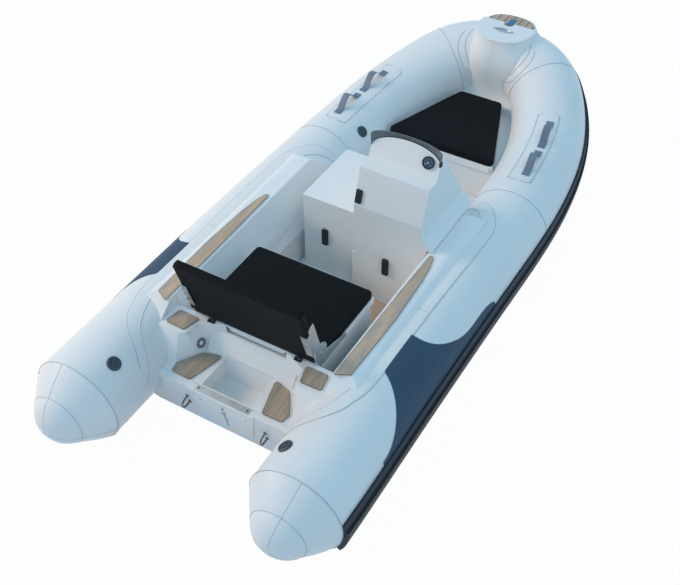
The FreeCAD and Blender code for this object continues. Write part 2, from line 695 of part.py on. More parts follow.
def backrest_arm():
    """Arm beside the backrest, with its flange behind it and the pivot pin."""
    y1 = LID_HALF - ARM_PLAY
    y0 = y1 - ARM_T
    x0 = PIVOT_X - ARM_W / 2 - 6
    blade = box(x0, x0 + ARM_W, y0, y1, PIVOT_Z, PIVOT_Z + ARM_LENGTH)
    heel = rod(V(PIVOT_X - 6, y0, PIVOT_Z), V(PIVOT_X - 6, y1, PIVOT_Z), ARM_W / 2)
    flange_x = BACKREST_FACE_X - BACKREST_T - FIT_GAP
    bridge = box(flange_x - ARM_T, x0 + 1, y0, y1, PIVOT_Z + 30, PIVOT_Z + ARM_LENGTH - 30)
    flange = box(flange_x - ARM_T, flange_x, y1 - 34, y1, PIVOT_Z + 30, PIVOT_Z + ARM_LENGTH - 30)
    pin = rod(V(PIVOT_X, y0, PIVOT_Z), V(PIVOT_X, LID_HALF + BRACKET_T + 4, PIVOT_Z), PIVOT_R)
    return one_solid(lean(blade.fuse([heel, bridge, flange, pin])))


# Console
def wall_y(z):
    """Inner face of the starboard cockpit wall."""
    return -COCKPIT_HALF - WALL_FLARE * max(0.0, z - LEDGE_Z)


def console_profile(inset):
    """Side view of the hood as (x, z), from the aft foot over the dash to the forward foot."""
    i = inset
    a, f = CONSOLE_AFT_X, CONSOLE_FWD_X
    foot = SEAM_Z + FIT_GAP
    return [(a + i, foot), (a + i, AXIS_Z + 385), (a + 62 + i, AXIS_Z + 575 - i),
            (a + 137 + i, AXIS_Z + 577 - i),
            (DASH_FOOT[0] + i, DASH_FOOT[1] - i), (DASH_TOP[0], DASH_TOP[1] - 2 * i),
            (f - 230 - i, AXIS_Z + 588 - i), (f - 145 - i, AXIS_Z + 470 - i), (f - 52 - i, AXIS_Z + 331 - i),
            (f - 12 - i, AXIS_Z + 246), (f - i, AXIS_Z + 180), (f - i, foot)]


def arch(x, grow, rise):
    """Top edge of the dash from port to starboard: half an ellipse."""
    centre = V(x, CONSOLE_MIDDLE_Y, ARCH_Z)
    side, crown = V(0, CONSOLE_W / 2 + grow, 0), V(0, 0, rise)
    return Part.ArcOfEllipse(Part.Ellipse(centre + side, centre + crown, centre), 0, math.pi).toShape()


def hood_block(inset):
    """Fore-and-aft view of the hood, with a lip over the side deck and the arched top, as a long prism."""
    foot = SEAM_Z + FIT_GAP
    lip_z = SIDE_DECK_Z + RUN_GAP
    edge_z = SIDE_DECK_Z - DECK_ROUND
    wall = wall_y(edge_z) + RUN_GAP + inset
    lip_y = LIP_Y + 5 * inset
    section = [(CONSOLE_STBD_Y + inset, ARCH_Z), (CONSOLE_STBD_Y + inset, LIP_TOP_Z - inset),
               (lip_y, lip_z + LIP_T + 3 * inset), (lip_y, lip_z + inset),
               (wall, lip_z + inset), (wall, edge_z),
               (wall_y(foot) + RUN_GAP + inset, foot), (CONSOLE_PORT_Y - inset, foot),
               (CONSOLE_PORT_Y - inset, ARCH_Z)]
    points = [V(0, y, z) for y, z in section]
    edges = [Part.LineSegment(p, q).toShape() for p, q in zip(points, points[1:])]
    edges.append(arch(0, -inset, DASH_TOP[1] - ARCH_Z - inset))
    return Part.Face(Part.Wire(edges)).extrude(V(BIG, 0, 0))


def hood_solid(inset):
    main = prism_y(console_profile(inset), -BIG, BIG).common(hood_block(inset))
    side = box(BOX_AFT_X + inset, CONSOLE_FWD_X - inset, CONSOLE_PORT_Y - 40, BOX_PORT_Y - inset,
               SEAM_Z + FIT_GAP, BOX_TOP_Z - inset)
    return main.fuse(side)


def wall_swept(clearance):
    """Starboard cockpit wall as the tilting hood meets it, at half and full tilt."""
    low, high = LEDGE_Z - 50, SIDE_DECK_Z
    wall = prism_x([(wall_y(LEDGE_Z) + clearance, low), (wall_y(LEDGE_Z) + clearance, LEDGE_Z),
                    (wall_y(high) + clearance, high), (-BIG, high), (-BIG, low)], 0, BIG)
    return [turned(wall, HOOD_PIN_X, SEAM_Z, -angle) for angle in (HOOD_TILT / 2, HOOD_TILT)]


def console_hood():
    outer = cut_all(hood_solid(0.0), wall_swept(RUN_GAP))
    inner = cut_all(hood_solid(HOOD_WALL), wall_swept(RUN_GAP + HOOD_WALL))
    below = inner.copy()
    below.translate(V(0, 0, -HOOD_WALL))
    return cut_all(outer, [inner, below])


def base_solid(inset):
    z0, z1 = FLOOR_Z + max(inset, FIT_GAP), SEAM_Z - FIT_GAP
    port = CONSOLE_PORT_Y + 10
    if inset:
        z1 = BIG
    section = [(port, z0), (port, z1), (wall_y(SEAM_Z) + 2 + inset, z1), (wall_y(SEAM_Z) + 2 + inset, SEAM_Z),
               (wall_y(LEDGE_Z) + 2 + inset, LEDGE_Z), (wall_y(LEDGE_Z) + 2 + inset, z0)]
    main = prism_x(section, CONSOLE_AFT_X + inset, CONSOLE_FWD_X - inset)
    side = box(BOX_AFT_X + inset, CONSOLE_FWD_X - inset, CONSOLE_PORT_Y - 10, BOX_PORT_Y - inset, z0, z1)
    return main.fuse(side)


def console_base():
    return one_solid(base_solid(0.0).cut(base_solid(BASE_WALL)))


def front_hinge(y, z_low, z_high):
    """Fixed and moving halves of a butt hinge on a forward face, parted at the seam."""
    x = HOOD_PIN_X
    half, third = HINGE_HALF, HINGE_HALF * 2 / 3
    fixed = box(CONSOLE_FWD_X, CONSOLE_FWD_X + LEAF_T, y - half, y + half, z_low, SEAM_Z - 1)
    moving = box(CONSOLE_FWD_X, CONSOLE_FWD_X + LEAF_T, y - half, y + half, SEAM_Z + 1, z_high)
    fixed_web = box(CONSOLE_FWD_X + 1, x, y - half, y + half, SEAM_Z - KNUCKLE_R, SEAM_Z - 1)
    moving_web = box(CONSOLE_FWD_X + 1, x, y - third / 2, y + third / 2, SEAM_Z + 1, SEAM_Z + KNUCKLE_R)
    gap = box(x - KNUCKLE_R - 2, x + 9, y - third / 2 - 0.5, y + third / 2 + 0.5, 0, BIG)
    spans = [(-half, -third / 2 - 0.5), (third / 2 + 0.5, half)]
    fixed = fixed.fuse([fixed_web.cut(gap)] + knuckles(x, y, SEAM_Z, spans, KNUCKLE_R, 0))
    fixed = fixed.cut(rod(V(x, y - 50, SEAM_Z), V(x, y + 50, SEAM_Z), HINGE_PIN_R + PIN_PLAY))
    pin = rod(V(x, y - half, SEAM_Z), V(x, y + half, SEAM_Z), HINGE_PIN_R)
    moving = moving.fuse([moving_web, pin] + knuckles(x, y, SEAM_Z, [(-third / 2, third / 2)], KNUCKLE_R, 0))
    return one_solid(fixed), one_solid(moving)


def screen_plan(z, flare):
    """Plan of the windscreen at height z: bowed forward, with both ends turned aft."""
    centre = V(CONSOLE_AFT_X + 169, CONSOLE_MIDDLE_Y, z)
    half, bow = CONSOLE_W / 2 + flare, 35 + flare
    curves = []
    for inset in (0, SCREEN_T):
        side, crown = V(0, half - inset, 0), V(bow - inset, 0, 0)
        ellipse = Part.Ellipse(centre + side, centre + crown, centre)
        curves.append(Part.ArcOfEllipse(ellipse, 0, math.pi).toShape())
    ends = [Part.LineSegment(centre + V(0, s * half, 0), centre + V(0, s * (half - SCREEN_T), 0)).toShape()
            for s in (-1, 1)]
    return Part.Wire([curves[0], ends[0], curves[1], ends[1]])


def windscreen():
    """Low band of even height round the arched top of the dash."""
    crown = DASH_TOP[1] - ARCH_Z
    levels = [screen_plan(ARCH_Z - 10, 0), screen_plan(DASH_TOP[1] + SCREEN_H, SCREEN_FLARE)]
    band = Part.makeLoft(levels, True, True)
    humps = []
    for grow, rise in ((FIT_GAP, crown + FIT_GAP), (SCREEN_H / 2, crown + SCREEN_H)):
        sill = Part.LineSegment(V(0, CONSOLE_STBD_Y - grow, ARCH_Z), V(0, CONSOLE_PORT_Y + grow, ARCH_Z))
        humps.append(Part.Face(Part.Wire([arch(0, grow, rise), sill.toShape()])).extrude(V(BIG, 0, 0)))
    below, above = humps
    filled = prism_y(console_profile(-FIT_GAP), -BIG, BIG).common(hood_block(-FIT_GAP))
    return cut_all(band.common(above), [below, filled])


def slope_frame(low, high, share):
    """Point on a sloped face of the hood, its direction up and its direction out."""
    low, high = V(low[0], 0, low[1]), V(high[0], 0, high[1])
    up = (high - low).normalize()
    return low + (high - low) * share, up, V(-up.z, 0, up.x)


def gauge():
    """Round instrument in the dash, its face sunk inside a rim."""
    seat, up, out = slope_frame(DASH_FOOT, DASH_TOP, 0.41)
    foot = seat + V(0, GAUGE_Y, 0) + out * FIT_GAP
    dial = Part.makeCylinder(GAUGE_R - GAUGE_RIM, GAUGE_T, foot + out * (GAUGE_T - 3), out)
    return Part.makeCylinder(GAUGE_R, GAUGE_T, foot, out).cut(dial)


def switch():
    """Rocker switch on the slope below the dash, at its port edge."""
    low, high = console_profile(0)[1], console_profile(0)[2]
    seat, up, out = slope_frame(low, high, SWITCH_SHARE)
    y = CONSOLE_PORT_Y - SWITCH_W * 0.6
    corner = seat + V(0, y - SWITCH_W / 2, 0) - up * (SWITCH_H / 2) + out * FIT_GAP
    plate = prism([corner, corner + V(0, SWITCH_W, 0), corner + V(0, SWITCH_W, 0) + up * SWITCH_H,
                   corner + up * SWITCH_H], out * SWITCH_T)
    return plate.makeFillet(6.0, [e for e in plate.Edges if abs(e.Length - SWITCH_T) < 0.01])


def latch(x, y, z):
    """Rubber pull across a seam at height z on an aft face at x."""
    half = LATCH_W / 2
    body = box(x - LATCH_T, x - FIT_GAP, y - half, y + half, z - LATCH_H * 0.66, z + LATCH_H * 0.34)
    return rounded_x(body, 6.0)


def rounded_x(slab, r):
    edges = [e for e in slab.Edges if abs(e.Vertexes[0].Point.x - e.Vertexes[-1].Point.x) > 1]
    return slab.makeFillet(r, edges)


# Bow seat
def seat_plan(z, aft_x, fwd_x, grow):
    return [V(aft_x, -seat_half(aft_x) - grow, z), V(fwd_x, -seat_half(fwd_x) - grow, z),
            V(fwd_x, seat_half(fwd_x) + grow, z), V(aft_x, seat_half(aft_x) + grow, z)]


def bow_seat_base(envelope):
    rim_z = BOW_LID_Z - BOW_LID_T - FIT_GAP
    foot_z, wall = FLOOR_Z + FIT_GAP, BOW_WALL
    outer = prism(seat_plan(foot_z, BOW_SEAT_AFT_X, BOW_SEAT_FWD_X, 0), V(0, 0, rim_z - foot_z))
    plan = seat_plan(FLOOR_Z + wall, BOW_SEAT_AFT_X + wall, BOW_SEAT_FWD_X - wall, -2 * wall)
    locker = prism(plan, V(0, 0, BIG))
    return cut_all(outer, [locker] + envelope)


def bow_seat_lid():
    aft = BOW_SEAT_AFT_X - RUN_GAP - LID_WALL
    top = prism(seat_plan(BOW_LID_Z - BOW_LID_T, aft, BOW_SEAT_FWD_X - 2, -4), V(0, 0, BOW_LID_T))
    half = BOW_SEAT_AFT_HALF - 20
    skirt = box(aft, aft + LID_WALL, -half, half, BOW_LID_Z - BOW_LID_SKIRT, BOW_LID_Z)
    return top.fuse(skirt)


def bow_cushion():
    slab = prism(seat_plan(BOW_LID_Z + FIT_GAP, BOW_SEAT_AFT_X - BOW_LID_OVER, BOW_SEAT_FWD_X - 2, 8),
                 V(0, 0, BOW_CUSHION_T))
    return rounded_corners(slab, 20)


def bow_hinge():
    """Fixed and moving halves of a hinge at the forward edge of the bow lid, port one."""
    x, y, z = BOW_PIN_X, BOW_HINGE_Y, BOW_LID_Z
    half, third = HINGE_HALF, HINGE_HALF * 2 / 3
    lid_x = BOW_SEAT_FWD_X - 2
    leaf = box(x, x + 18, y - half, y + half, BOW_DECK_Z, BOW_DECK_Z + LEAF_T)
    room = box(x - 9, x + KNUCKLE_R + 1, y - third / 2 - 0.5, y + third / 2 + 0.5, 0, BIG)
    spans = [(-half, -third / 2 - 0.5), (third / 2 + 0.5, half)]
    fixed = leaf.cut(room).fuse(knuckles(x, y, z, spans, KNUCKLE_R, 0))
    fixed = fixed.cut(rod(V(x, y - 50, z), V(x, y + 50, z), HINGE_PIN_R + PIN_PLAY))
    plate = box(lid_x, lid_x + LEAF_T, y - half, y + half, z - BOW_LID_T, z)
    web = box(lid_x + 1, x, y - third / 2, y + third / 2, z - 3, z)
    pin = rod(V(x, y - half, z), V(x, y + half, z), HINGE_PIN_R)
    moving = plate.fuse([web, pin] + knuckles(x, y, z, [(-third / 2, third / 2)], KNUCKLE_R, 0))
    return one_solid(fixed), one_solid(moving)


# Bow fitting: a column between the tubes with a step over the bow
def nose_outline(z, grow, wide):
    half = NOSE_HALF + wide
    port = [V(NOSE_AFT_X - grow, 0, z), V(NOSE_AFT_X + 30 - grow, half * 0.62, z),
            V(NOSE_AFT_X + 130, half, z), V(NOSE_FWD_X, half, z),
            V(NOSE_LIP_X - 40 + grow, half * 0.78, z), V(NOSE_LIP_X + grow, 0, z)]
    starboard = [V(p.x, -p.y, p.z) for p in reversed(port[1:-1])]
    curve = Part.BSplineCurve()
    curve.interpolate(port + starboard, PeriodicFlag=True)
    return Part.Wire([curve.toShape()])


def bow_nose(envelope):
    """Column that spreads onto the tubes, its top notched at the edge of the step."""
    levels = [(BOW_DECK_Z, 38, 80), (AXIS_Z + 180, 34, 72), (AXIS_Z + 330, 20, 40), (NOSE_TOP_Z - 18, 1, 1),
              (NOSE_TOP_Z, 0, 0)]
    body = Part.makeLoft([nose_outline(*level) for level in levels], True, False)
    ledge_z = NOSE_TOP_Z - NOSE_STEP_DROP
    step_cut = box(NOSE_FWD_X, BIG * 2, -BIG, BIG, ledge_z, BIG)
    notch_x = NOSE_FWD_X - NOTCH_DEPTH + NOTCH_HALF
    notch = box(notch_x, NOSE_FWD_X + 1, -NOTCH_HALF, NOTCH_HALF, ledge_z, BIG)
    end = rod(V(notch_x, 0, ledge_z), V(notch_x, 0, BIG), NOTCH_HALF)
    return cut_all(body, [step_cut, notch, end] + envelope)


def bow_step_pad():
    """Step in front of the top edge, with a tongue that fills the notch round the strap."""
    z = NOSE_TOP_Z - NOSE_STEP_DROP
    pad = Part.Face(nose_outline(z, -14, -14)).extrude(V(0, 0, PAD_T))
    pad = pad.cut(box(0, NOSE_FWD_X + 8, -BIG, BIG, 0, BIG))
    tongue = NOTCH_HALF - 3
    tongue_x = NOSE_FWD_X - NOTCH_DEPTH + NOTCH_HALF
    pad = pad.fuse([box(tongue_x, NOSE_FWD_X + 9, -tongue, tongue, z, z + PAD_T),
                    rod(V(tongue_x, 0, z), V(tongue_x, 0, z + PAD_T), tongue)])
    groove = box(0, NOSE_LIP_X - 60, -STRAP_HALF - 2, STRAP_HALF + 2, 0, BIG)
    return one_solid(pad.cut(groove.common(box(tongue_x + 4, BIG * 2, -BIG, BIG, 0, BIG))))


def bow_cleat():
    """Pad with pointed ends and a slot for a line, on the bow fitting's top."""
    z = NOSE_TOP_Z
    x, half = NOSE_AFT_X + 137, 68

    def lens(half_length, half_width, depth, height):
        tips = [V(x, side * half_length, z + depth) for side in (-1, 1)]
        bulges = [V(x + side * half_width, 0, z + depth) for side in (-1, 1)]
        edges = [Part.Arc(tips[0], bulge, tips[1]).toShape() for bulge in bulges]
        return Part.Face(Part.Wire(edges)).extrude(V(0, 0, height))
    return lens(half, 20, 0, 5).cut(lens(half - 16, 12, 2, 9))


def bow_strap():
    z = NOSE_TOP_Z - NOSE_STEP_DROP
    return box(NOSE_FWD_X - NOTCH_DEPTH + NOTCH_HALF + 6, NOSE_LIP_X - 62, -STRAP_HALF, STRAP_HALF, z, z + 9)


# Fittings on the tubes
def valve(x, degrees, r=VALVE_R, height=VALVE_H):
    u = u_at_x(x)
    return rod(tube_point(u, degrees, -VALVE_DEPTH), tube_point(u, degrees, height), r)


def valve_pocket(x, degrees):
    return valve(x, degrees, VALVE_R + FIT_GAP, BIG / 10)


def handle(x0, x1, degrees):
    """Strap handle: flat ends on the tube and an arch between them."""
    half_deg = math.degrees(HANDLE_W / 2 / TUBE_R)
    wires = []
    for share in [0.0] + spread(HANDLE_FOOT, 1 - HANDLE_FOOT, 13) + [1.0]:
        along = min(max((share - HANDLE_FOOT) / (1 - 2 * HANDLE_FOOT), 0), 1)
        low = FIT_GAP + HANDLE_RISE * math.sin(math.pi * along) ** 1.5
        corners = [(degrees - half_deg, low), (degrees - half_deg, low + HANDLE_T),
                   (degrees + half_deg, low + HANDLE_T), (degrees + half_deg, low)]
        wires.append(strip_wire(u_at_x(x0 + (x1 - x0) * share), corners))
    return Part.makeLoft(wires, True, True)


# Stern fittings
def transom_plate():
    return box(-2, TRANSOM_T, -PLATE_HALF, PLATE_HALF, STERN_DECK_Z, STERN_DECK_Z + PLATE_T)


def transom_eye():
    up = TRANSOM_OUT.cross(V(0, 1, 0))
    if up.z < 0:
        up = up * -1.0
    feet = [on_transom(EYE_Y, EYE_Z) + up * (side * EYE_HALF) for side in (-1, 1)]
    bends = [foot + TRANSOM_OUT * (EYE_REACH - EYE_HALF) for foot in feet]
    crown = on_transom(EYE_Y, EYE_Z, EYE_REACH)
    bow = Part.Arc(bends[0], crown, bends[1])
    legs = [Part.LineSegment(feet[0], bends[0]), Part.LineSegment(bends[1], feet[1])]
    path = Part.Wire([piece.toShape() for piece in (legs[0], bow, legs[1])])
    circle = Part.Wire([Part.Circle(feet[0], TRANSOM_OUT, EYE_ROD_R).toShape()])
    eye = path.makePipe(Part.Face(circle))
    collars = [rod(foot, foot + TRANSOM_OUT * 3, 11.0) for foot in feet]
    return one_solid(eye.fuse(collars))


def drain_plug():
    seat = on_transom(0, PLUG_Z)
    return rod(seat, seat + TRANSOM_OUT * 12, PLUG_R)


def riser_frame():
    """Middle of the step's inner riser, and its outward direction, on the port side."""
    foot, top = step_outline(STERN_DECK_Z - 1, True), step_outline(STEP_Z, False)
    along = foot[2] - foot[1]
    up = top[1] - foot[1]
    out = along.cross(up).normalize()
    if out.y > 0:
        out = out * -1.0
    return foot[1] + along * 0.45 + up * 0.3, out


def well_drain():
    seat, out = riser_frame()
    ring = rod(seat, seat + out * DRAIN_T, DRAIN_R)
    hole = rod(seat + out * 1.5, seat + out * (DRAIN_T + 1), DRAIN_R * 0.42)
    return ring.cut(hole)


def pad(points, z, r=12.0):
    slab = prism([V(x, y, z) for x, y in points], V(0, 0, PAD_T))
    return rounded_corners(slab, r)


def save_tubes(envelope):
    side = side_tube().cut(valve_pocket(AFT_VALVE_X, AFT_VALVE_DEG))
    save("tube_port", side)
    save("tube_starboard", mirrored(side))
    save("tube_bow", bow_tube().cut(valve_pocket(FWD_VALVE_X, FWD_VALVE_DEG)))
    save("stern_cone_port", stern_cone())
    save("stern_cone_starboard", mirrored(stern_cone()))
    rub_strake = strake(envelope)
    save("rub_strake_port", rub_strake)
    save("rub_strake_starboard", mirrored(rub_strake))
    panel = side_panel(envelope[0], rub_strake)
    save("side_panel_port", panel)
    save("side_panel_starboard", mirrored(panel))
    aft_valve = valve(AFT_VALVE_X, AFT_VALVE_DEG)
    forward_valve = valve(FWD_VALVE_X, FWD_VALVE_DEG)
    save("valves", Part.makeCompound([aft_valve, mirrored(aft_valve), forward_valve]))
    handles = Part.makeCompound([handle(2020, 2260, 88), handle(2296, 2536, 88)])
    save("handles_port", handles)
    save("handles_starboard", mirrored(handles))


def save_moulding(envelope):
    save("hull", hull(envelope))
    save("cockpit_floor", cockpit_floor())
    save("stern_deck", stern_deck(envelope))
    deck = side_deck(envelope)
    save("side_deck_port", deck)
    save("side_deck_starboard", mirrored(deck))
    save("transom_plate", transom_plate())
    save("transom_eyes", both_sides(transom_eye()))
    save("drain_plug", drain_plug())
    save("well_drain", well_drain())
    stern_pad = across([(38, 0.881), (36, 0.578), (230, 0.427), (204, 0.692), (90, 0.907)])
    save("stern_pads", both_sides(pad(stern_pad, STERN_DECK_Z)))
    step_pad = [(178, STEP_OUTER_Y - 21)] + across([(174, 0.924), (268, 0.855)]) + [(270, STEP_OUTER_Y - 37)]
    save("step_pads", both_sides(pad(step_pad, STEP_Z)))
    outer, inner = DECK_OUTER_Y, DECK_INNER_Y
    deck_pad = [(268, outer - 12), (660, outer - 5), (950, outer - 18), (1050, outer - 30),
                (1112, outer - 44), (1130, outer - 58), (1116, inner + 26), (836, inner + 20),
                (232, inner + 14)]
    save("side_deck_pads", both_sides(pad(deck_pad, SIDE_DECK_Z, 4.0)))
    half = BENCH_HALF - FLOOR_PAD_SIDE_GAP
    aft = BENCH_FWD_X + FLOOR_PAD_AFT_GAP
    fwd = BOX_AFT_X - FLOOR_PAD_FWD_GAP
    save("floor_pad", pad([(aft, -half), (fwd, -half), (fwd, half), (aft, half)], FLOOR_Z))


def save_bench():
    save("bench_base", bench_base())
    save("bench_lid", bench_lid())
    save("bench_cushion", bench_cushion())
    save("bench_hinge_bases", both_sides(bench_hinge_base()))
    save("bench_hinge_leaves", both_sides(bench_hinge_leaf()))
    save("seat_brackets", both_sides(seat_bracket()))
    save("backrest", backrest())
    save("backrest_arms", both_sides(backrest_arm()))


def save_console():
    save("console_base", console_base())
    save("console_hood", console_hood())
    save("windscreen", windscreen())
    save("gauge", gauge())
    save("switch", switch())
    latches = [latch(BOX_AFT_X, BOX_MIDDLE_Y, SEAM_Z), latch(CONSOLE_AFT_X, CONSOLE_MIDDLE_Y, SEAM_Z)]
    save("hood_latches", Part.makeCompound(latches))
    halves = [front_hinge(y, SEAM_Z - 24, SEAM_Z + 24) for y in (CONSOLE_MIDDLE_Y, BOX_MIDDLE_Y)]
    save("hood_hinge_bases", Part.makeCompound([fixed for fixed, moving in halves]))
    save("hood_hinge_leaves", Part.makeCompound([moving for fixed, moving in halves]))


def save_bow(envelope):
    save("bow_seat_base", bow_seat_base(envelope))
    save("bow_seat_lid", bow_seat_lid())
    save("bow_cushion", bow_cushion())
    fixed, moving = bow_hinge()
    save("bow_hinge_bases", both_sides(fixed))
    save("bow_hinge_leaves", both_sides(moving))
    save("bow_nose", bow_nose(envelope))
    save("bow_step_pad", bow_step_pad())
    save("bow_cleat", bow_cleat())
    save("bow_strap", bow_strap())


def build():
    os.makedirs("parts", exist_ok=True)
    save_tubes(tube_envelope(FIT_GAP))
    envelope = tube_envelope(GLUE_GAP)
    save_moulding(envelope)
    save_bench()
    save_console()
    save_bow(envelope)


build()
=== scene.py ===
import json
import math
import bmesh
import bpy
import numpy as np
from mathutils import Matrix, Vector


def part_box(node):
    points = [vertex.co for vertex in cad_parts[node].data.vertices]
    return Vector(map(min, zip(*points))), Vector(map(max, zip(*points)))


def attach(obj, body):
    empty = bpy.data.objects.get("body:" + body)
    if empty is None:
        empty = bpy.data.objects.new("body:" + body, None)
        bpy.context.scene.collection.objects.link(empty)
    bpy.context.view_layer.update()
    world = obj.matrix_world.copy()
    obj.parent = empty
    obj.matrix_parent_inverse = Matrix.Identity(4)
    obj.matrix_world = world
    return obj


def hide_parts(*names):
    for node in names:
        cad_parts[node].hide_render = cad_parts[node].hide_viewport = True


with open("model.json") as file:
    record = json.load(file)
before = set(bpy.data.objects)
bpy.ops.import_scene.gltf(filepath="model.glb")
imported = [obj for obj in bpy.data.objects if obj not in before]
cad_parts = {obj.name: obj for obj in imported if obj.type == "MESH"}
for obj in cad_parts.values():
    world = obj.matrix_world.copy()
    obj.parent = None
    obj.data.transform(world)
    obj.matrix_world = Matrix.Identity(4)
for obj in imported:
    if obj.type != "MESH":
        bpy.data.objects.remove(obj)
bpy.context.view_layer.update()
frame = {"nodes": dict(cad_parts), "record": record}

# Sizes in metres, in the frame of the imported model
AXIS_Z = 0.260
TUBE_R = 0.227
BOW_TUBE_R = 0.212
TUBE_AFT_X = -0.295
CONE_RING_X = -0.427
CONE_RING_R = 0.136
CONE_TIP_X = -0.512
TUBE_JOIN_X = 1.950
BOW_TUBE_X = 3.069
HALF_SPACING = 0.585
MIDSHIP_DIP = 0.039
BOW_RISE = 0.184
BOAT = "boat"
HOOD = "console_hood"
SIDES = ((1, "port"), (-1, "starboard"))

# Windscreen, dash and backrest
ARCH_Z = AXIS_Z + 0.640
DASH_FOOT = Vector((1.293, 0.0, AXIS_Z + 0.602))
DASH_TOP = Vector((1.344, 0.0, AXIS_Z + 0.706))
HOOD_MIDDLE_Y = -0.2175
HOOD_HALF = 0.1875
PIVOT = (0.318, 0.512)
BACKREST_LEAN = math.radians(16.0)
BACKREST_AFT_X = 0.272
BACKREST_LOW_Z = 0.467
BACKREST_TALL = 0.395
BACKREST_THICK = 0.042
TRANSOM_OUT = Vector((-0.977256, 0.0, -0.212064))
STERN_DECK_Z = 0.295

# Camera that took the photograph
CAMERA_PLACE = (-2.23288, -1.97578, 3.80670)
CAMERA_AHEAD = (0.61599, 0.37056, -0.69515)
CAMERA_UP = (0.60096, 0.34948, 0.71882)
CAMERA_LENS = 53.608
SENSOR = 36.0


def linked(name, data):
    """New object in the scene."""
    obj = bpy.data.objects.new(name, data)
    bpy.context.scene.collection.objects.link(obj)
    return obj


def set_camera():
    data = bpy.data.cameras.new("camera")
    camera = linked("camera", data)
    ahead = Vector(CAMERA_AHEAD).normalized()
    up = Vector(CAMERA_UP).normalized()
    right = ahead.cross(up).normalized()
    up = right.cross(ahead)
    turn = Matrix((right, up, -ahead)).transposed()
    camera.matrix_world = Matrix.Translation(CAMERA_PLACE) @ turn.to_4x4()
    data.lens = CAMERA_LENS
    data.sensor_width = SENSOR
    data.clip_end = 60.0
    bpy.context.scene.camera = camera


# Node helpers: tree is a node tree, place is the object's own coordinates in metres
def new_material(name):
    m = bpy.data.materials.new(name)
    m.use_nodes = True
    m.node_tree.nodes.clear()
    return m, m.node_tree


def node(tree, kind, **values):
    n = tree.nodes.new(kind)
    for key, value in values.items():
        setattr(n, key, value)
    return n


def feed(tree, target, value):
    """Link an output to a socket, or set the socket's own value."""
    if isinstance(value, bpy.types.NodeSocket):
        tree.links.new(value, target)
    else:
        target.default_value = value


def maths(tree, operation, *inputs):
    n = node(tree, "ShaderNodeMath", operation=operation)
    for i, value in enumerate(inputs):
        feed(tree, n.inputs[i], value)
    return n.outputs[0]


def noise(tree, place, scale, detail, roughness=0.5):
    n = node(tree, "ShaderNodeTexNoise")
    feed(tree, n.inputs["Vector"], place)
    n.inputs["Scale"].default_value = scale
    n.inputs["Detail"].default_value = detail
    n.inputs["Roughness"].default_value = roughness
    return n.outputs["Fac"]


def mixed(tree, share, a, b):
    n = node(tree, "ShaderNodeMix", data_type="RGBA")
    feed(tree, n.inputs[0], share)
    feed(tree, n.inputs[6], a)
    feed(tree, n.inputs[7], b)
    return n.outputs[2]


def stretched(tree, place, factors):
    n = node(tree, "ShaderNodeVectorMath", operation="MULTIPLY")
    feed(tree, n.inputs[0], place)
    n.inputs[1].default_value = factors
    return n.outputs[0]


def ranged(tree, value, low, high, out_low=0.0, out_high=1.0):
    n = node(tree, "ShaderNodeMapRange", clamp=True)
    feed(tree, n.inputs[0], value)
    for i, v in enumerate((low, high, out_low, out_high)):
        n.inputs[i + 1].default_value = v
    return n.outputs[0]


def rgb(*values):
    return (*values, 1.0)


def darker(colour, factor):
    return rgb(*[c * factor for c in colour[:3]])


def shader(tree, colour, roughness, bump=None, strength=0.2, distance=0.001, **sockets):
    """Principled surface with its output; sockets are named with underlines for spaces."""
    s = node(tree, "ShaderNodeBsdfPrincipled")
    feed(tree, s.inputs["Base Color"], colour)
    feed(tree, s.inputs["Roughness"], roughness)
    for key, value in sockets.items():
        s.inputs[key.replace("_", " ")].default_value = value
    if bump is not None:
        b = node(tree, "ShaderNodeBump")
        b.inputs["Strength"].default_value = strength
        b.inputs["Distance"].default_value = distance
        feed(tree, b.inputs["Height"], bump)
        feed(tree, s.inputs["Normal"], b.outputs[0])
    out = node(tree, "ShaderNodeOutputMaterial")
    feed(tree, out.inputs[0], s.outputs[0])


def place_of(tree):
    return node(tree, "ShaderNodeTexCoord").outputs["Object"]


# Materials
def coated_fabric(name, colour, dark, rough):
    """Matt tube cloth with faint clouds, grime, weave and long soft wrinkles."""
    m, t = new_material(name)
    place = place_of(t)
    cloud = noise(t, place, 2.2, 4.0)
    grime = noise(t, place, 14.0, 5.0, 0.6)
    tone = mixed(t, ranged(t, cloud, 0.35, 0.75), colour, dark)
    tone = mixed(t, ranged(t, grime, 0.62, 0.9, 0.0, 0.35), tone, dark)
    weave = noise(t, place, 900.0, 2.0)
    wrinkle = noise(t, stretched(t, place, (3.0, 9.0, 9.0)), 2.0, 3.0)
    height = maths(t, "ADD", maths(t, "MULTIPLY", weave, 0.25), maths(t, "MULTIPLY", wrinkle, 1.4))
    shader(t, tone, ranged(t, grime, 0.3, 0.8, rough - 0.06, rough + 0.1), height, 0.28, 0.004)
    return m


def moulded(name, colour, dark, rough):
    """Gelcoat with clouds and a slight ripple."""
    m, t = new_material(name)
    place = place_of(t)
    cloud = noise(t, place, 3.0, 4.0)
    wear = noise(t, place, 5.0, 3.0)
    tone = mixed(t, ranged(t, cloud, 0.4, 0.8), colour, dark)
    ripple = noise(t, place, 9.0, 2.0)
    shader(t, tone, ranged(t, wear, 0.35, 0.75, rough, rough + 0.10), ripple, 0.06, 0.004, Specular_IOR_Level=0.35)
    return m


# Strips counted before Y = 0, so that no count is below zero, and a strip wider than any pad
STRIPS_BEFORE = 50
WHOLE_BOARD = 9.0


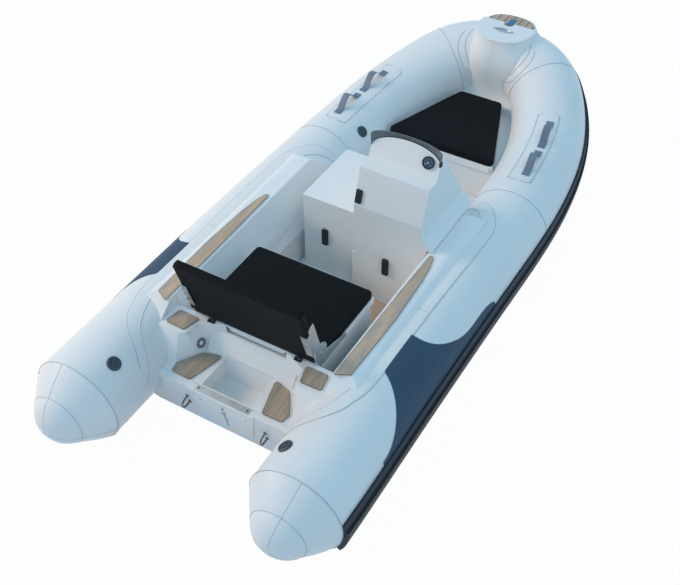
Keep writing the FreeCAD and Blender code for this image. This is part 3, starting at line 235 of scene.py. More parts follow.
def planked(name, pitch, caulk_width, worn=(0.42, 0.72, 0.75), grey=(0.33, 0.315, 0.285)):
    """Teak strips along X with dark caulk between them, counted along Y.

    worn holds the noise levels between which the grey sets in, and how much of it there is at most."""
    m, t = new_material(name)
    place = place_of(t)
    parts = node(t, "ShaderNodeSeparateXYZ")
    feed(t, parts.inputs[0], place)
    value = maths(t, "DIVIDE", maths(t, "ADD", parts.outputs[1], STRIPS_BEFORE * pitch), pitch)
    strip = maths(t, "FLOOR", value)
    along = maths(t, "FRACT", value)
    edge = maths(t, "ABSOLUTE", maths(t, "SUBTRACT", along, 0.5))
    caulk_share = caulk_width / pitch
    caulk = ranged(t, edge, 0.5 - caulk_share * 0.5, 0.5 - caulk_share * 0.35)
    shifted = node(t, "ShaderNodeCombineXYZ")
    feed(t, shifted.inputs[0], maths(t, "ADD", parts.outputs[0], maths(t, "MULTIPLY", strip, 1.7)))
    feed(t, shifted.inputs[1], parts.outputs[1])
    feed(t, shifted.inputs[2], parts.outputs[2])
    grain = noise(t, stretched(t, shifted.outputs[0], (2.0, 34.0, 34.0)), 3.0, 7.0, 0.68)
    board = noise(t, stretched(t, shifted.outputs[0], (0.6, 0.6, 0.6)), 1.3, 1.0)
    wood = mixed(t, ranged(t, grain, 0.3, 0.7), rgb(0.66, 0.47, 0.34), rgb(0.44, 0.30, 0.20))
    wood = mixed(t, ranged(t, board, 0.3, 0.7, 0.0, 0.5), wood, rgb(0.70, 0.53, 0.40))
    weather = noise(t, stretched(t, shifted.outputs[0], (1.0, 4.0, 4.0)), 7.0, 5.0, 0.65)
    wood = mixed(t, ranged(t, weather, worn[0], worn[1], 0.0, worn[2]), wood, rgb(*grey))
    tone = mixed(t, caulk, wood, rgb(0.05, 0.045, 0.04))
    height = maths(t, "SUBTRACT", maths(t, "MULTIPLY", grain, 0.4), maths(t, "MULTIPLY", caulk, 0.8))
    shader(t, tone, ranged(t, grain, 0.3, 0.7, 0.6, 0.8), height, 0.35, 0.001)
    return m


def vinyl(name, colour, sheen):
    """Black seat cloth with small cells and shallow folds."""
    m, t = new_material(name)
    place = place_of(t)
    cells = node(t, "ShaderNodeTexVoronoi", feature="DISTANCE_TO_EDGE")
    feed(t, cells.inputs["Vector"], place)
    cells.inputs["Scale"].default_value = 420.0
    cloud = noise(t, place, 5.0, 4.0)
    folds = noise(t, stretched(t, place, (8.0, 5.0, 8.0)), 2.0, 3.0)
    tone = mixed(t, ranged(t, cloud, 0.35, 0.75), colour, sheen)
    height = maths(t, "ADD", maths(t, "MULTIPLY", cells.outputs["Distance"], 0.6), maths(t, "MULTIPLY", folds, 1.2))
    shader(t, tone, ranged(t, cloud, 0.3, 0.7, 0.62, 0.74), height, 0.4, 0.002, Specular_IOR_Level=0.14)
    return m


def metal(name, colour, rough, along=(2.0, 160.0, 160.0)):
    """Brushed metal; along stretches the brush marks."""
    m, t = new_material(name)
    place = place_of(t)
    brushed = noise(t, stretched(t, place, along), 8.0, 4.0)
    stain = noise(t, place, 25.0, 4.0)
    tone = mixed(t, ranged(t, stain, 0.4, 0.8), colour, darker(colour, 0.8))
    shader(t, tone, ranged(t, brushed, 0.3, 0.7, rough, rough + 0.14), brushed, 0.12, 0.0004, Metallic=1.0)
    return m


def plastic(name, colour, rough, grain=350.0, strength=0.2):
    """Plastic, rubber or paint with fine pits and lighter clouds."""
    m, t = new_material(name)
    place = place_of(t)
    cloud = noise(t, place, 12.0, 4.0)
    pits = noise(t, place, grain, 3.0)
    lighter = rgb(*[c * 1.5 + 0.006 for c in colour[:3]])
    tone = mixed(t, ranged(t, cloud, 0.4, 0.8), colour, lighter)
    shader(t, tone, ranged(t, cloud, 0.3, 0.7, rough, rough + 0.12), pits, strength, 0.0008)
    return m


def diamond_cloth(name, colour, dark):
    """Side panel cloth with small raised diamonds; painted shade darkens the grooves between them, and random clouds
    darken it too.
    """
    m, t = new_material(name)
    place = place_of(t)
    waves = []
    for turn in (math.pi / 4, -math.pi / 4):
        r = node(t, "ShaderNodeVectorRotate", rotation_type="Z_AXIS")
        feed(t, r.inputs["Vector"], place)
        r.inputs["Angle"].default_value = turn
        w = node(t, "ShaderNodeTexWave", wave_type="BANDS", bands_direction="X")
        feed(t, w.inputs["Vector"], r.outputs[0])
        w.inputs["Scale"].default_value = 30.0
        waves.append(w.outputs["Fac"])
    studs = maths(t, "MULTIPLY", waves[0], waves[1])
    cloud = noise(t, place, 6.0, 4.0)
    # painted shade: the grooves between the raised diamonds take the darker colour
    tone = mixed(t, ranged(t, studs, 0.1, 0.7), dark, colour)
    tone = mixed(t, ranged(t, cloud, 0.4, 0.8, 0.0, 0.5), tone, dark)
    shader(t, tone, 0.66, studs, 0.2, 0.0012)
    return m


def smoked_glass(name, colour):
    m, t = new_material(name)
    place = place_of(t)
    haze = noise(t, place, 30.0, 4.0)
    shader(t, colour, ranged(t, haze, 0.3, 0.8, 0.08, 0.2), Transmission_Weight=0.55, IOR=1.46)
    return m


def seam_shadow_line(name, colour):
    """Painted shadow line along the edge of a glued strip: a darker grey-blue that paints the shade there."""
    m, t = new_material(name)
    place = place_of(t)
    cloud = noise(t, place, 18.0, 4.0)
    tone = mixed(t, ranged(t, cloud, 0.35, 0.75), colour, darker(colour, 0.82))
    shader(t, tone, 0.6, noise(t, place, 500.0, 2.0), 0.1, 0.0004)
    return m


# Each look: the function that makes it and what that function is given after the name
LOOKS = {
    "tube_fabric": (coated_fabric, rgb(0.84, 0.84, 0.84), rgb(0.79, 0.80, 0.81), 0.42),
    "strake_rubber": (plastic, rgb(0.010, 0.019, 0.030), 0.62),
    # panel_fabric's darker colour is painted shade in the diamonds' grooves and also a random cloud tone
    "panel_fabric": (diamond_cloth, rgb(0.040, 0.096, 0.165), rgb(0.026, 0.062, 0.108)),
    "gelcoat": (moulded, rgb(0.87, 0.865, 0.865), rgb(0.82, 0.825, 0.83), 0.38),
    "teak": (planked, 0.046, 0.0055),
    "teak_plain": (planked, WHOLE_BOARD, 0.0),
    "teak_worn": (planked, WHOLE_BOARD, 0.0, (0.18, 0.72, 0.85), (0.215, 0.205, 0.180)),
    "seat_cloth": (vinyl, rgb(0.0036, 0.0042, 0.0056), rgb(0.0062, 0.0070, 0.0092)),
    "stainless": (metal, rgb(0.60, 0.61, 0.62), 0.24),
    # Painted shade: a darker copy of the stainless for the transom's U-bolts and bolts; its dark colour paints the
    # dark reflections they show
    "dark_steel": (metal, rgb(0.20, 0.20, 0.21), 0.30),
    "black_metal": (plastic, rgb(0.014, 0.014, 0.016), 0.35, 200.0, 0.1),
    "black_rubber": (plastic, rgb(0.012, 0.0125, 0.015), 0.5),
    "valve_rubber": (plastic, rgb(0.045, 0.066, 0.085), 0.42),
    "handle_rubber": (plastic, rgb(0.150, 0.195, 0.260), 0.5),
    "smoked_glass": (smoked_glass, rgb(0.27, 0.30, 0.32)),
    "gauge_face": (plastic, rgb(0.008, 0.009, 0.012), 0.3),
    "gauge_dial": (plastic, rgb(0.030, 0.055, 0.095), 0.35),
    "gauge_marks": (plastic, rgb(0.50, 0.56, 0.62), 0.5),
    "plate_metal": (metal, rgb(0.84, 0.84, 0.83), 0.50, (160.0, 2.0, 160.0)),
    "strap_webbing": (plastic, rgb(0.045, 0.19, 0.42), 0.6),
    "grey_plastic": (plastic, rgb(0.16, 0.16, 0.165), 0.4),
    # Painted shadow: this grey-blue paints the shade along the edges of seams, of the cones' cords and of the
    # transom's rib
    "seam": (seam_shadow_line, rgb(0.50, 0.545, 0.585)),
}
MATERIALS = {look: recipe[0](look, *recipe[1:]) for look, recipe in LOOKS.items()}

SLOT_OF = {row["node"]: row["material_slot"] for row in frame["record"]["subparts"]}

# Pieces whose look differs from the rest of their slot
LOOK = {"stern_pads": "teak_worn", "step_pads": "teak_worn", "side_deck_pads": "teak_plain",
        # painted shade: the transom's eyes take the darker copy of the stainless
        "floor_pad": "teak_plain", "transom_eyes": "dark_steel",
        "well_drain": "grey_plastic", "drain_plug": "grey_plastic"}

# Rounder edges on the big mouldings
ROUNDED = {"console_hood": 0.010, "console_base": 0.010, "stern_deck": 0.010, "bow_nose": 0.012,
           "bench_base": 0.008}

# Width of the softened edges on the carried-over pieces
EDGE = {"gelcoat": 0.006, "teak": 0.0012, "stainless": 0.0008, "black_metal": 0.0006, "plate_metal": 0.0006,
        "black_rubber": 0.0015, "smoked_glass": 0.001, "strake_rubber": 0.003, "handle_rubber": 0.0012}
JOIN_DISTANCE = 0.00002


def bevelled(obj, width, segments, degrees):
    bevel = obj.modifiers.new("bevel", "BEVEL")
    bevel.width = width
    bevel.segments = segments
    bevel.limit_method = "ANGLE"
    bevel.angle_limit = math.radians(degrees)


def soften(obj, width):
    """Weld, bevel and smooth an object's edges with modifiers, leaving its mesh alone."""
    weld = obj.modifiers.new("weld", "WELD")
    weld.merge_threshold = JOIN_DISTANCE
    if width:
        bevelled(obj, width, 3, 32)
    smooth = obj.modifiers.new("normals", "WEIGHTED_NORMAL")
    smooth.keep_sharp = True


def dress_cad():
    for name, obj in frame["nodes"].items():
        slot = SLOT_OF[name]
        obj.data.materials.clear()
        obj.data.materials.append(MATERIALS[LOOK.get(name, slot)])
        soften(obj, ROUNDED.get(name, EDGE.get(slot, 0.0)))


# Mesh helpers
def add_piece(name, verts, faces, slot, body=BOAT, replaces=(), look=None):
    mesh = bpy.data.meshes.new(name)
    mesh.from_pydata([tuple(map(float, v)) for v in verts], [], [tuple(map(int, f)) for f in faces])
    mesh.validate()
    mesh.update()
    obj = linked(name, mesh)
    for polygon in mesh.polygons:
        polygon.use_smooth = True
    mesh.materials.append(MATERIALS[look or slot])
    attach(obj, body)
    if replaces:
        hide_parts(*replaces)
    return obj


def outward(mesh):
    """Turn all faces outward and join vertices that lie together."""
    work = bmesh.new()
    work.from_mesh(mesh)
    bmesh.ops.remove_doubles(work, verts=work.verts, dist=JOIN_DISTANCE)
    bmesh.ops.recalc_face_normals(work, faces=work.faces)
    work.to_mesh(mesh)
    work.free()


def add_solid(*values, **more):
    obj = add_piece(*values, **more)
    outward(obj.data)
    return obj


class Gathered:
    """Vertices and faces of several shapes that become one piece."""

    def __init__(self):
        self.verts = []
        self.faces = []

    def add(self, verts, faces):
        first = len(self.verts)
        self.verts += [tuple(v) for v in verts]
        self.faces += [tuple(first + k for k in face) for face in faces]

    def piece(self, name, slot, body=BOAT, replaces=(), look=None):
        obj = add_solid(name, self.verts, self.faces, slot, body, replaces, look)
        obj.modifiers.new("normals", "WEIGHTED_NORMAL")


def facing(origin, axis, along):
    """Matrix to a plane at origin, its Z along axis and its X as near as can be to along."""
    z = Vector(axis).normalized()
    y = z.cross(Vector(along)).normalized()
    x = y.cross(z)
    turn = Matrix((x, y, z)).transposed().to_4x4()
    return Matrix.Translation(Vector(origin)) @ turn


def circle(count):
    """(cosine, sine) of evenly spaced angles."""
    return [(math.cos(2 * math.pi * k / count), math.sin(2 * math.pi * k / count)) for k in range(count)]


def revolved(profile, place, steps=40):
    """Rings of (radius, height) about the Z axis of place; the first and last are closed."""
    verts = [place @ Vector((r * c, r * s, h)) for r, h in profile for c, s in circle(steps)]
    return verts, capped_faces(len(profile), steps)


def block(place, size):
    """Box about the origin of place, standing on its XY plane."""
    x, y, z = size[0] / 2, size[1] / 2, size[2]
    verts = [place @ Vector((sx * x, sy * y, h)) for h in (0, z) for sx, sy in ((-1, -1), (1, -1), (1, 1), (-1, 1))]
    faces = [(3, 2, 1, 0), (4, 5, 6, 7), (0, 1, 5, 4), (1, 2, 6, 5), (2, 3, 7, 6), (3, 0, 4, 7)]
    return verts, faces


def swept_round(points, radius, sides):
    """Round cord through points, closed at both ends."""
    pts = [Vector(p) for p in points]
    verts = []
    side = None
    for i, p in enumerate(pts):
        ahead = (pts[min(i + 1, len(pts) - 1)] - pts[max(i - 1, 0)]).normalized()
        if side is None:
            side = ahead.cross(Vector((0.1, 0.3, 1.0))).normalized()
        side = (side - ahead * side.dot(ahead)).normalized()
        over = ahead.cross(side)
        verts += [p + side * (radius * c) + over * (radius * s) for c, s in circle(sides)]
    return verts, capped_faces(len(pts), sides)


def through(rows, steps):
    """Smooth curve through rows of numbers."""
    rows = [np.array(r, float) for r in rows]
    rows = [2 * rows[0] - rows[1]] + rows + [2 * rows[-1] - rows[-2]]
    out = []
    for i in range(1, len(rows) - 2):
        a, b, c, d = rows[i - 1:i + 3]
        for k in range(steps):
            t = k / steps
            out.append(0.5 * (2 * b + (c - a) * t + (2 * a - 5 * b + 4 * c - d) * t * t
                              + (3 * b - a - 3 * c + d) * t ** 3))
    out.append(rows[-2])
    return out


def ring_faces(rings, around):
    """Quads between rings that follow one another."""
    faces = []
    for i in range(rings - 1):
        for j in range(around):
            k = (j + 1) % around
            faces.append((i * around + j, i * around + k, (i + 1) * around + k, (i + 1) * around + j))
    return faces


def capped_faces(rings, around):
    """Quads between rings, with a face over each end."""
    last = (rings - 1) * around
    return ring_faces(rings, around) + [tuple(range(around)), tuple(reversed(range(last, last + around)))]


# Tube centreline: a clamped cubic spline with the same poles as the solid
POLES = np.array([
    (TUBE_AFT_X - 0.014, HALF_SPACING, AXIS_Z),
    (0.400, HALF_SPACING, AXIS_Z),
    (0.850, HALF_SPACING + 0.002, AXIS_Z),
    (1.350, HALF_SPACING + 0.004, AXIS_Z - MIDSHIP_DIP * 0.25),
    (1.934, HALF_SPACING + 0.007, AXIS_Z - MIDSHIP_DIP),
    (2.476, HALF_SPACING - 0.030, AXIS_Z - MIDSHIP_DIP * 0.2),
    (2.865, HALF_SPACING - 0.175, AXIS_Z + BOW_RISE * 0.48),
    (BOW_TUBE_X, HALF_SPACING - 0.347, AXIS_Z + BOW_RISE),
    (BOW_TUBE_X, 0.0, AXIS_Z + BOW_RISE)])
DEGREE = 3
KNOTS = np.concatenate([np.zeros(DEGREE), np.linspace(0, 1, len(POLES) - DEGREE + 1), np.ones(DEGREE)])


def centre_at(u):
    """Point on the centreline, by repeated blending of its poles."""
    u = min(max(u, 0.0), 1.0 - 1e-9)
    k = int(np.searchsorted(KNOTS, u, side="right")) - 1
    d = [POLES[j + k - DEGREE].copy() for j in range(DEGREE + 1)]
    for r in range(1, DEGREE + 1):
        for j in range(DEGREE, r - 1, -1):
            low = KNOTS[j + k - DEGREE]
            share = (u - low) / (KNOTS[j + 1 + k - r] - low)
            d[j] = (1 - share) * d[j - 1] + share * d[j]
    return d[DEGREE]


def frame_at(u):
    """Centre, direction outboard and direction up of the port tube."""
    step = 1e-4
    ahead = centre_at(min(u + step, 1.0)) - centre_at(max(u - step, 0.0))
    ahead /= np.linalg.norm(ahead)
    out = np.cross(ahead, (0.0, 0.0, 1.0))
    out /= np.linalg.norm(out)
    if out @ np.array((0.3, 1.0, 0.0)) < 0:
        out = -out
    above = np.cross(out, ahead)
    if above[2] < 0:
        above = -above
    return centre_at(u), out, above


def u_at(x):
    lo, hi = 0.0, 1.0
    for _ in range(40):
        mid = (lo + hi) / 2
        if centre_at(mid)[0] < x:
            lo = mid
        else:
            hi = mid
    return (lo + hi) / 2


def radius_at(x):
    share = min(max((x - TUBE_JOIN_X) / (BOW_TUBE_X - TUBE_JOIN_X), 0.0), 1.0)
    return TUBE_R + (BOW_TUBE_R - TUBE_R) * share


def tube_point(u, degrees, lift):
    """Point on the port tube: 0 degrees outboard, 90 on top, 180 inboard."""
    centre, out, above = frame_at(u)
    r = radius_at(centre[0]) + lift
    a = math.radians(degrees)
    return centre + out * (r * math.cos(a)) + above * (r * math.sin(a))


def tube_normal(u, degrees):
    return tube_point(u, degrees, 1.0) - tube_point(u, degrees, 0.0)


def on_side(points, side):
    """Points of the port side, mirrored if side is below zero."""
    return [np.array((p[0], -p[1], p[2])) for p in points] if side < 0 else points


# Air tubes as one skin from the port cone round the bow to the starboard cone
AROUND = 96
TUBE_RINGS = 120
CONE_STEPS = 12
CONE_BULGE = 0.004


def cone_rings():
    """(x, radius) of the rounded cap and of the cone, from the tip to the tube."""
    cap = CONE_RING_X - CONE_TIP_X
    cap_r = (cap ** 2 + CONE_RING_R ** 2) / (2 * cap)
    rings = []
    widest = math.asin(CONE_RING_R / cap_r)
    for i in range(1, CONE_STEPS + 1):
        a = widest * i / CONE_STEPS
        rings.append((CONE_TIP_X + cap_r * (1 - math.cos(a)), cap_r * math.sin(a)))
    for i in range(1, CONE_STEPS + 1):
        share = i / CONE_STEPS
        bulge = CONE_BULGE * math.sin(math.pi * share)
        x = CONE_RING_X + (TUBE_AFT_X - CONE_RING_X) * share
        rings.append((x, CONE_RING_R + (TUBE_R - CONE_RING_R) * share + bulge))
    return rings


def tube_skin():
    port = []
    for x, r in cone_rings():
        port.append([(x, HALF_SPACING + r * c, AXIS_Z + r * s) for c, s in circle(AROUND)])
    for u in np.linspace(u_at(TUBE_AFT_X + 0.02), 1.0, TUBE_RINGS):
        port.append([tube_point(u, 360.0 * j / AROUND, 0.0) for j in range(AROUND)])
    verts = [(CONE_TIP_X, HALF_SPACING, AXIS_Z)] + [p for ring in port for p in ring]
    for ring in reversed(port[:-1]):
        verts += on_side(ring, -1)
    verts.append((CONE_TIP_X, -HALF_SPACING, AXIS_Z))
    total = 2 * len(port) - 1
    faces = [tuple(1 + k for k in f) for f in ring_faces(total, AROUND)]
    last = len(verts) - 1
    for j in range(AROUND):
        k = (j + 1) % AROUND
        faces.append((0, 1 + k, 1 + j))
        faces.append((last, 1 + (total - 1) * AROUND + j, 1 + (total - 1) * AROUND + k))
    add_solid("tube_skin", verts, faces, "tube_fabric",
              replaces=("tube_port", "tube_starboard", "tube_bow", "stern_cone_port", "stern_cone_starboard"))


# Bands, seams and patches on the tubes; places are (u, degrees) on the port tube
SEAM_W = 0.0024
SEAM_T = 0.0012
SEAM_LIFT = 0.0019
BAND_COLUMNS = 13
BAND_SUNK = 0.001
DECK_BAND_T = 0.0018
HANDLE_PATCH_T = 0.0016
# Patch under the handles: (x, x, low degrees, high degrees, corner)
HANDLE_PATCH = (1.965, 2.610, 76, 109, 0.035)

# Strip that joins the side deck to the tube: (x, low degrees, high degrees)
DECK_BAND = (
    (-0.070, 150, 176), (-0.045, 137, 163), (-0.012, 122, 147), (0.017, 111, 133), (0.045, 103, 123),
    (0.068, 98, 117), (0.105, 92, 111), (0.150, 88, 106), (0.254, 81, 99), (0.420, 79, 96),
    (0.900, 78, 96), (1.400, 76, 96), (1.520, 79, 100), (1.600, 88, 110), (1.655, 97, 124),
    (1.695, 109, 146), (1.712, 124, 158))
DECK_BAND_JOINT_X = 0.80
RING_SEAMS_X = (TUBE_AFT_X, 1.845)
BOW_RING_X = 2.958

# Two lines round the patch that holds the bow fitting, from the outside of the port tube to the middle
BOW_PATCH = (
    ((2.990, 0.190, 0.640), (2.900, 0.196, 0.590), (2.850, 0.150, 0.510), (2.842, 0.080, 0.462),
     (2.845, 0.000, 0.448)),
    ((2.960, 0.235, 0.620), (2.860, 0.225, 0.560), (2.822, 0.160, 0.470), (2.828, 0.080, 0.425),
     (2.835, 0.000, 0.412)))


def seam(name, places, side):
    """Thin raised line through places, coloured as a painted shadow line."""
    rows = [tube_point(u, degrees, SEAM_LIFT) for u, degrees in places]
    verts = []
    for i, (p, (u, degrees)) in enumerate(zip(rows, places)):
        normal = tube_normal(u, degrees)
        ahead = rows[min(i + 1, len(rows) - 1)] - rows[max(i - 1, 0)]
        across = np.cross(normal, ahead)
        across *= SEAM_W / 2 / np.linalg.norm(across)
        for q, drop in ((p - across, 0.0), (p + across, 0.0), (p + across, SEAM_T), (p - across, SEAM_T)):
            verts.append(q - normal * drop)
    add_solid(name, on_side(verts, side), capped_faces(len(rows), 4), "tube_fabric", look="seam")


def band(name, spans, thick, side):
    """Glued strip with a seam round it; spans holds (x, low degrees, high degrees) along its length."""
    rows = [(u_at(x), low, high) for x, low, high in through(spans, 6)]
    columns = BAND_COLUMNS
    verts = []
    for u, low, high in rows:
        for lift in (thick, -BAND_SUNK):
            verts += [tube_point(u, low + (high - low) * j / (columns - 1), lift) for j in range(columns)]
    verts = on_side(verts, side)
    row = 2 * columns
    faces = []
    for i in range(len(rows) - 1):
        first, second = i * row, (i + 1) * row
        for j in range(columns - 1):
            faces.append((first + j, first + j + 1, second + j + 1, second + j))
        for j in (0, columns - 1):
            faces.append((first + j, second + j, second + columns + j, first + columns + j))
    for i in (0, len(rows) - 1):
        first = i * row
        for j in range(columns - 1):
            faces.append((first + j, first + j + 1, first + columns + j + 1, first + columns + j))
    add_piece(name, verts, faces, "tube_fabric")
    outline = [(u, low) for u, low, high in rows] + [(u, high) for u, low, high in reversed(rows)]
    seam(name + "_edge", outline + outline[:1], side)


def rounded_spans(x0, x1, low, high, corner):
    """Spans of a strip between x0 and x1 whose corners are rounded."""
    turn = math.degrees(corner / TUBE_R)
    angles = np.linspace(0, math.pi / 2, 5)
    ends = [(corner * (1 - math.cos(a)), turn * (1 - math.sin(a))) for a in angles]
    rows = [(x0 + dx, low + da, high - da) for dx, da in ends]
    return rows + [((x0 + x1) / 2, low, high)] + [(x1 - dx, low + da, high - da) for dx, da in reversed(ends)]


def nearest_on_tube(point):
    """(u, degrees) of the place on the forward part of the port tube nearest to a point."""
    best = None
    for u in np.linspace(0.6, 1.0, 161):
        centre, out, above = frame_at(u)
        gap = np.array(point) - centre
        flat = math.hypot(gap @ out, gap @ above)
        off = abs(np.linalg.norm(gap) ** 2 - flat ** 2)
        if best is None or off < best[0]:
            best = (off, u, math.degrees(math.atan2(gap @ above, gap @ out)) % 360)
    return best[1:]


def ring_part(x, first, last, count):
    """Places on the ring of the tube at x, from one angle to another."""
    u = u_at(x)
    return [(u, a) for a in np.linspace(first, last, count)]


def tube_seams():
    for side, word in SIDES:
        band("deck_band_" + word, DECK_BAND, DECK_BAND_T, side)
        seam("deck_band_joint_" + word, ring_part(DECK_BAND_JOINT_X, 78, 97, 9), side)
        band("handle_patch_" + word, rounded_spans(*HANDLE_PATCH), HANDLE_PATCH_T, side)
        for number, x in enumerate(RING_SEAMS_X):
            seam("ring_seam_%d_%s" % (number, word), ring_part(x, -40, 220, 66), side)
        seam("bow_ring_" + word, ring_part(BOW_RING_X, 20, 215, 50), side)
        for number, line in enumerate(BOW_PATCH):
            places = through([nearest_on_tube(p) for p in line], 8)
            seam("bow_patch_%d_%s" % (number, word), [tuple(row) for row in places], side)
    cone_seams()


# Seams of the cones
CAP_SEAM_R = 0.0011
CAP_SEAM_OUT = 0.0007
CAP_SEAM_AFT = 0.0005
CONE_SEAM_R = 0.0010
CONE_SEAM_OUT = 0.0002
CONE_SEAM_DEGREES = (80, 200, 320)


def cone_seams():
    """Ring between the cone and its cap, and three seams from each tip to the tube."""
    shape = Gathered()
    ring_r = CONE_RING_R + CAP_SEAM_OUT
    for side in (1, -1):
        loop = [(CONE_RING_X - CAP_SEAM_AFT, side * HALF_SPACING + ring_r * math.cos(a), AXIS_Z + ring_r * math.sin(a))
                for a in np.linspace(0, 2 * math.pi, AROUND + 1)]
        shape.add(*swept_round(loop, CAP_SEAM_R, 6))
        for turn in map(math.radians, CONE_SEAM_DEGREES):
            line = []
            for x, r in cone_rings():
                out = r + CONE_SEAM_OUT
                line.append((x, side * (HALF_SPACING + out * math.cos(turn)), AXIS_Z + out * math.sin(turn)))
            shape.add(*swept_round(line, CONE_SEAM_R, 6))
    # painted shadow: the cones' cords take the grey-blue seam-shadow colour
    shape.piece("cone_seams", "tube_fabric", look="seam")


# Strap handles with lengthwise ribs; a foot is the share of a strap that lies flat at each end
HANDLE_W = 0.042
HANDLE_T = 0.004
HANDLE_RISE = 0.060
HANDLE_FOOT = 0.14
HANDLE_LIFT = 0.0025
HANDLE_DEGREES = 88
HANDLE_SPANS = ((2.020, 2.260), (2.296, 2.536))
HANDLE_RIBS = 6
RIB_STEPS = 4
RIB_RISE = 0.0009
STRAP_EDGE = 0.003
STRAP_UNDERSIDE = 0.0004
STATIONS = 48


def ribbed_section():
    """Outline of the strap as (across, height), with ribs on its top."""
    half = HANDLE_W / 2
    steps = HANDLE_RIBS * RIB_STEPS
    top = []
    for i in range(steps + 1):
        share = i / steps
        edge = min(share, 1 - share) * 2 * half
        rounded = min(1.0, edge / STRAP_EDGE) ** 0.5
        rib = RIB_RISE * abs(math.sin(math.pi * share * HANDLE_RIBS))
        top.append((half * (2 * share - 1), HANDLE_T * (0.55 + 0.3 * rounded) + rib))
    return top + [(half, STRAP_UNDERSIDE), (-half, STRAP_UNDERSIDE)]


def strap(shape, x0, x1, side):
    """Strap from x0 to x1 along the tube's top, that rises in a bow between its feet."""
    section = ribbed_section()
    degrees = HANDLE_DEGREES
    verts = []
    for i in range(STATIONS + 1):
        share = i / STATIONS
        along = min(max((share - HANDLE_FOOT) / (1 - 2 * HANDLE_FOOT), 0.0), 1.0)
        lift = HANDLE_LIFT + HANDLE_RISE * math.sin(math.pi * along) ** 1.5
        u = u_at(x0 + (x1 - x0) * share)
        base = tube_point(u, degrees, lift)
        up = tube_normal(u, degrees)
        sideways = tube_point(u, degrees + 0.5, 0.0) - tube_point(u, degrees - 0.5, 0.0)
        sideways /= np.linalg.norm(sideways)
        for across, height in section:
            verts.append(base + sideways * across + up * height)
    verts = on_side(verts, side)
    shape.add(verts, capped_faces(STATIONS + 1, len(section)))


def handles():
    for side, word in SIDES:
        shape = Gathered()
        for x0, x1 in HANDLE_SPANS:
            strap(shape, x0, x1, side)
        shape.piece("strap_handles_" + word, "handle_rubber", replaces=("handles_" + word,))


# Valves: places as (x, degrees, side) on the tubes, and the outline as (radius, height)
VALVE_PLACES = ((-0.155, 125, 1), (-0.155, 125, -1), (2.027, 136, 1))
VALVE_PROFILE = [(0.0340, -0.0100), (0.0340, 0.0045), (0.0325, 0.0062), (0.0290, 0.0066), (0.0285, 0.0088),
                 (0.0270, 0.0092), (0.0245, 0.0092), (0.0236, 0.0084), (0.0234, 0.0062), (0.0050, 0.0058)]
VALVE_GRIP = ((0.040, 0.006, 0.0032), (0.006, 0.040, 0.0028))
VALVE_GRIP_Z = 0.0056


def valves():
    """Each valve: a flange, a raised ring and a sunk cap with a grip across it."""
    shape = Gathered()
    for x, degrees, side in VALVE_PLACES:
        u = u_at(x)
        foot, normal = on_side([tube_point(u, degrees, 0.0), tube_normal(u, degrees)], side)
        place = facing(foot, normal, (1.0, 0.0, 0.0))
        shape.add(*revolved(VALVE_PROFILE, place))
        for size in VALVE_GRIP:
            shape.add(*block(place @ Matrix.Translation((0, 0, VALVE_GRIP_Z)), size))
    shape.piece("valve_caps", "black_rubber", replaces=("valves",), look="valve_rubber")


# Cushions: rings are counted from the middle of the lower face, over the side, to the middle of the upper face
CORNER_STEPS = 8
CUSHION_AROUND = 176
CROWN_SHARES = (0.08, 0.25, 0.42, 0.58, 0.72, 0.83, 0.91, 0.97)
CROWN_POWER = 2.6
EDGE_TURNS = [math.radians(a) for a in (0, 22, 45, 68, 90)]
SIDE_STEPS = 6
CUSHION_BELLY = 0.002
PIPING_AROUND = 200
PIPING_SIDES = 8
PIPING_R = 0.0022
PIPING_SHARE = 0.35
BENCH_CORNER = 0.022
BOW_CORNER = 0.030
BACKREST_CORNER = 0.014
# How much the bow cushion's half width falls towards the bow, for each metre of its length
BOW_TAPER = 0.357


def rounded_outline(points, radius):
    """Closed outline with its corners turned into arcs."""
    out = []
    count = len(points)
    for i in range(count):
        p = Vector(points[i])
        before = (Vector(points[i - 1]) - p).normalized()
        after = (Vector(points[(i + 1) % count]) - p).normalized()
        half = before.angle(after) / 2
        back = radius / math.tan(half)
        a, b = p + before * back, p + after * back
        centre = p + (before + after).normalized() * (radius / math.sin(half))
        start = math.atan2(a.y - centre.y, a.x - centre.x)
        sweep = math.atan2(b.y - centre.y, b.x - centre.x) - start
        sweep = (sweep + math.pi) % (2 * math.pi) - math.pi
        for k in range(CORNER_STEPS + 1):
            angle = start + sweep * k / CORNER_STEPS
            out.append(Vector((centre.x + radius * math.cos(angle), centre.y + radius * math.sin(angle))))
    return out


def resampled(points, count):
    """Closed outline with evenly spaced points."""
    loop = [Vector(p) for p in points] + [Vector(points[0])]
    lengths = [0.0]
    for a, b in zip(loop, loop[1:]):
        lengths.append(lengths[-1] + (b - a).length)
    out = []
    j = 0
    for i in range(count):
        want = lengths[-1] * i / count
        while lengths[j + 1] < want:
            j += 1
        share = (want - lengths[j]) / max(lengths[j + 1] - lengths[j], 1e-9)
        out.append(loop[j].lerp(loop[j + 1], share))
    return out


def outline_normals(loop):
    """Middle of a closed outline, and its normals away from that middle."""
    middle = sum(loop, Vector((0, 0))) / len(loop)
    normals = []
    for i, p in enumerate(loop):
        tangent = (loop[(i + 1) % len(loop)] - loop[i - 1]).normalized()
        normal = Vector((tangent.y, -tangent.x))
        normals.append(-normal if (p - middle).dot(normal) < 0 else normal)
    return middle, normals


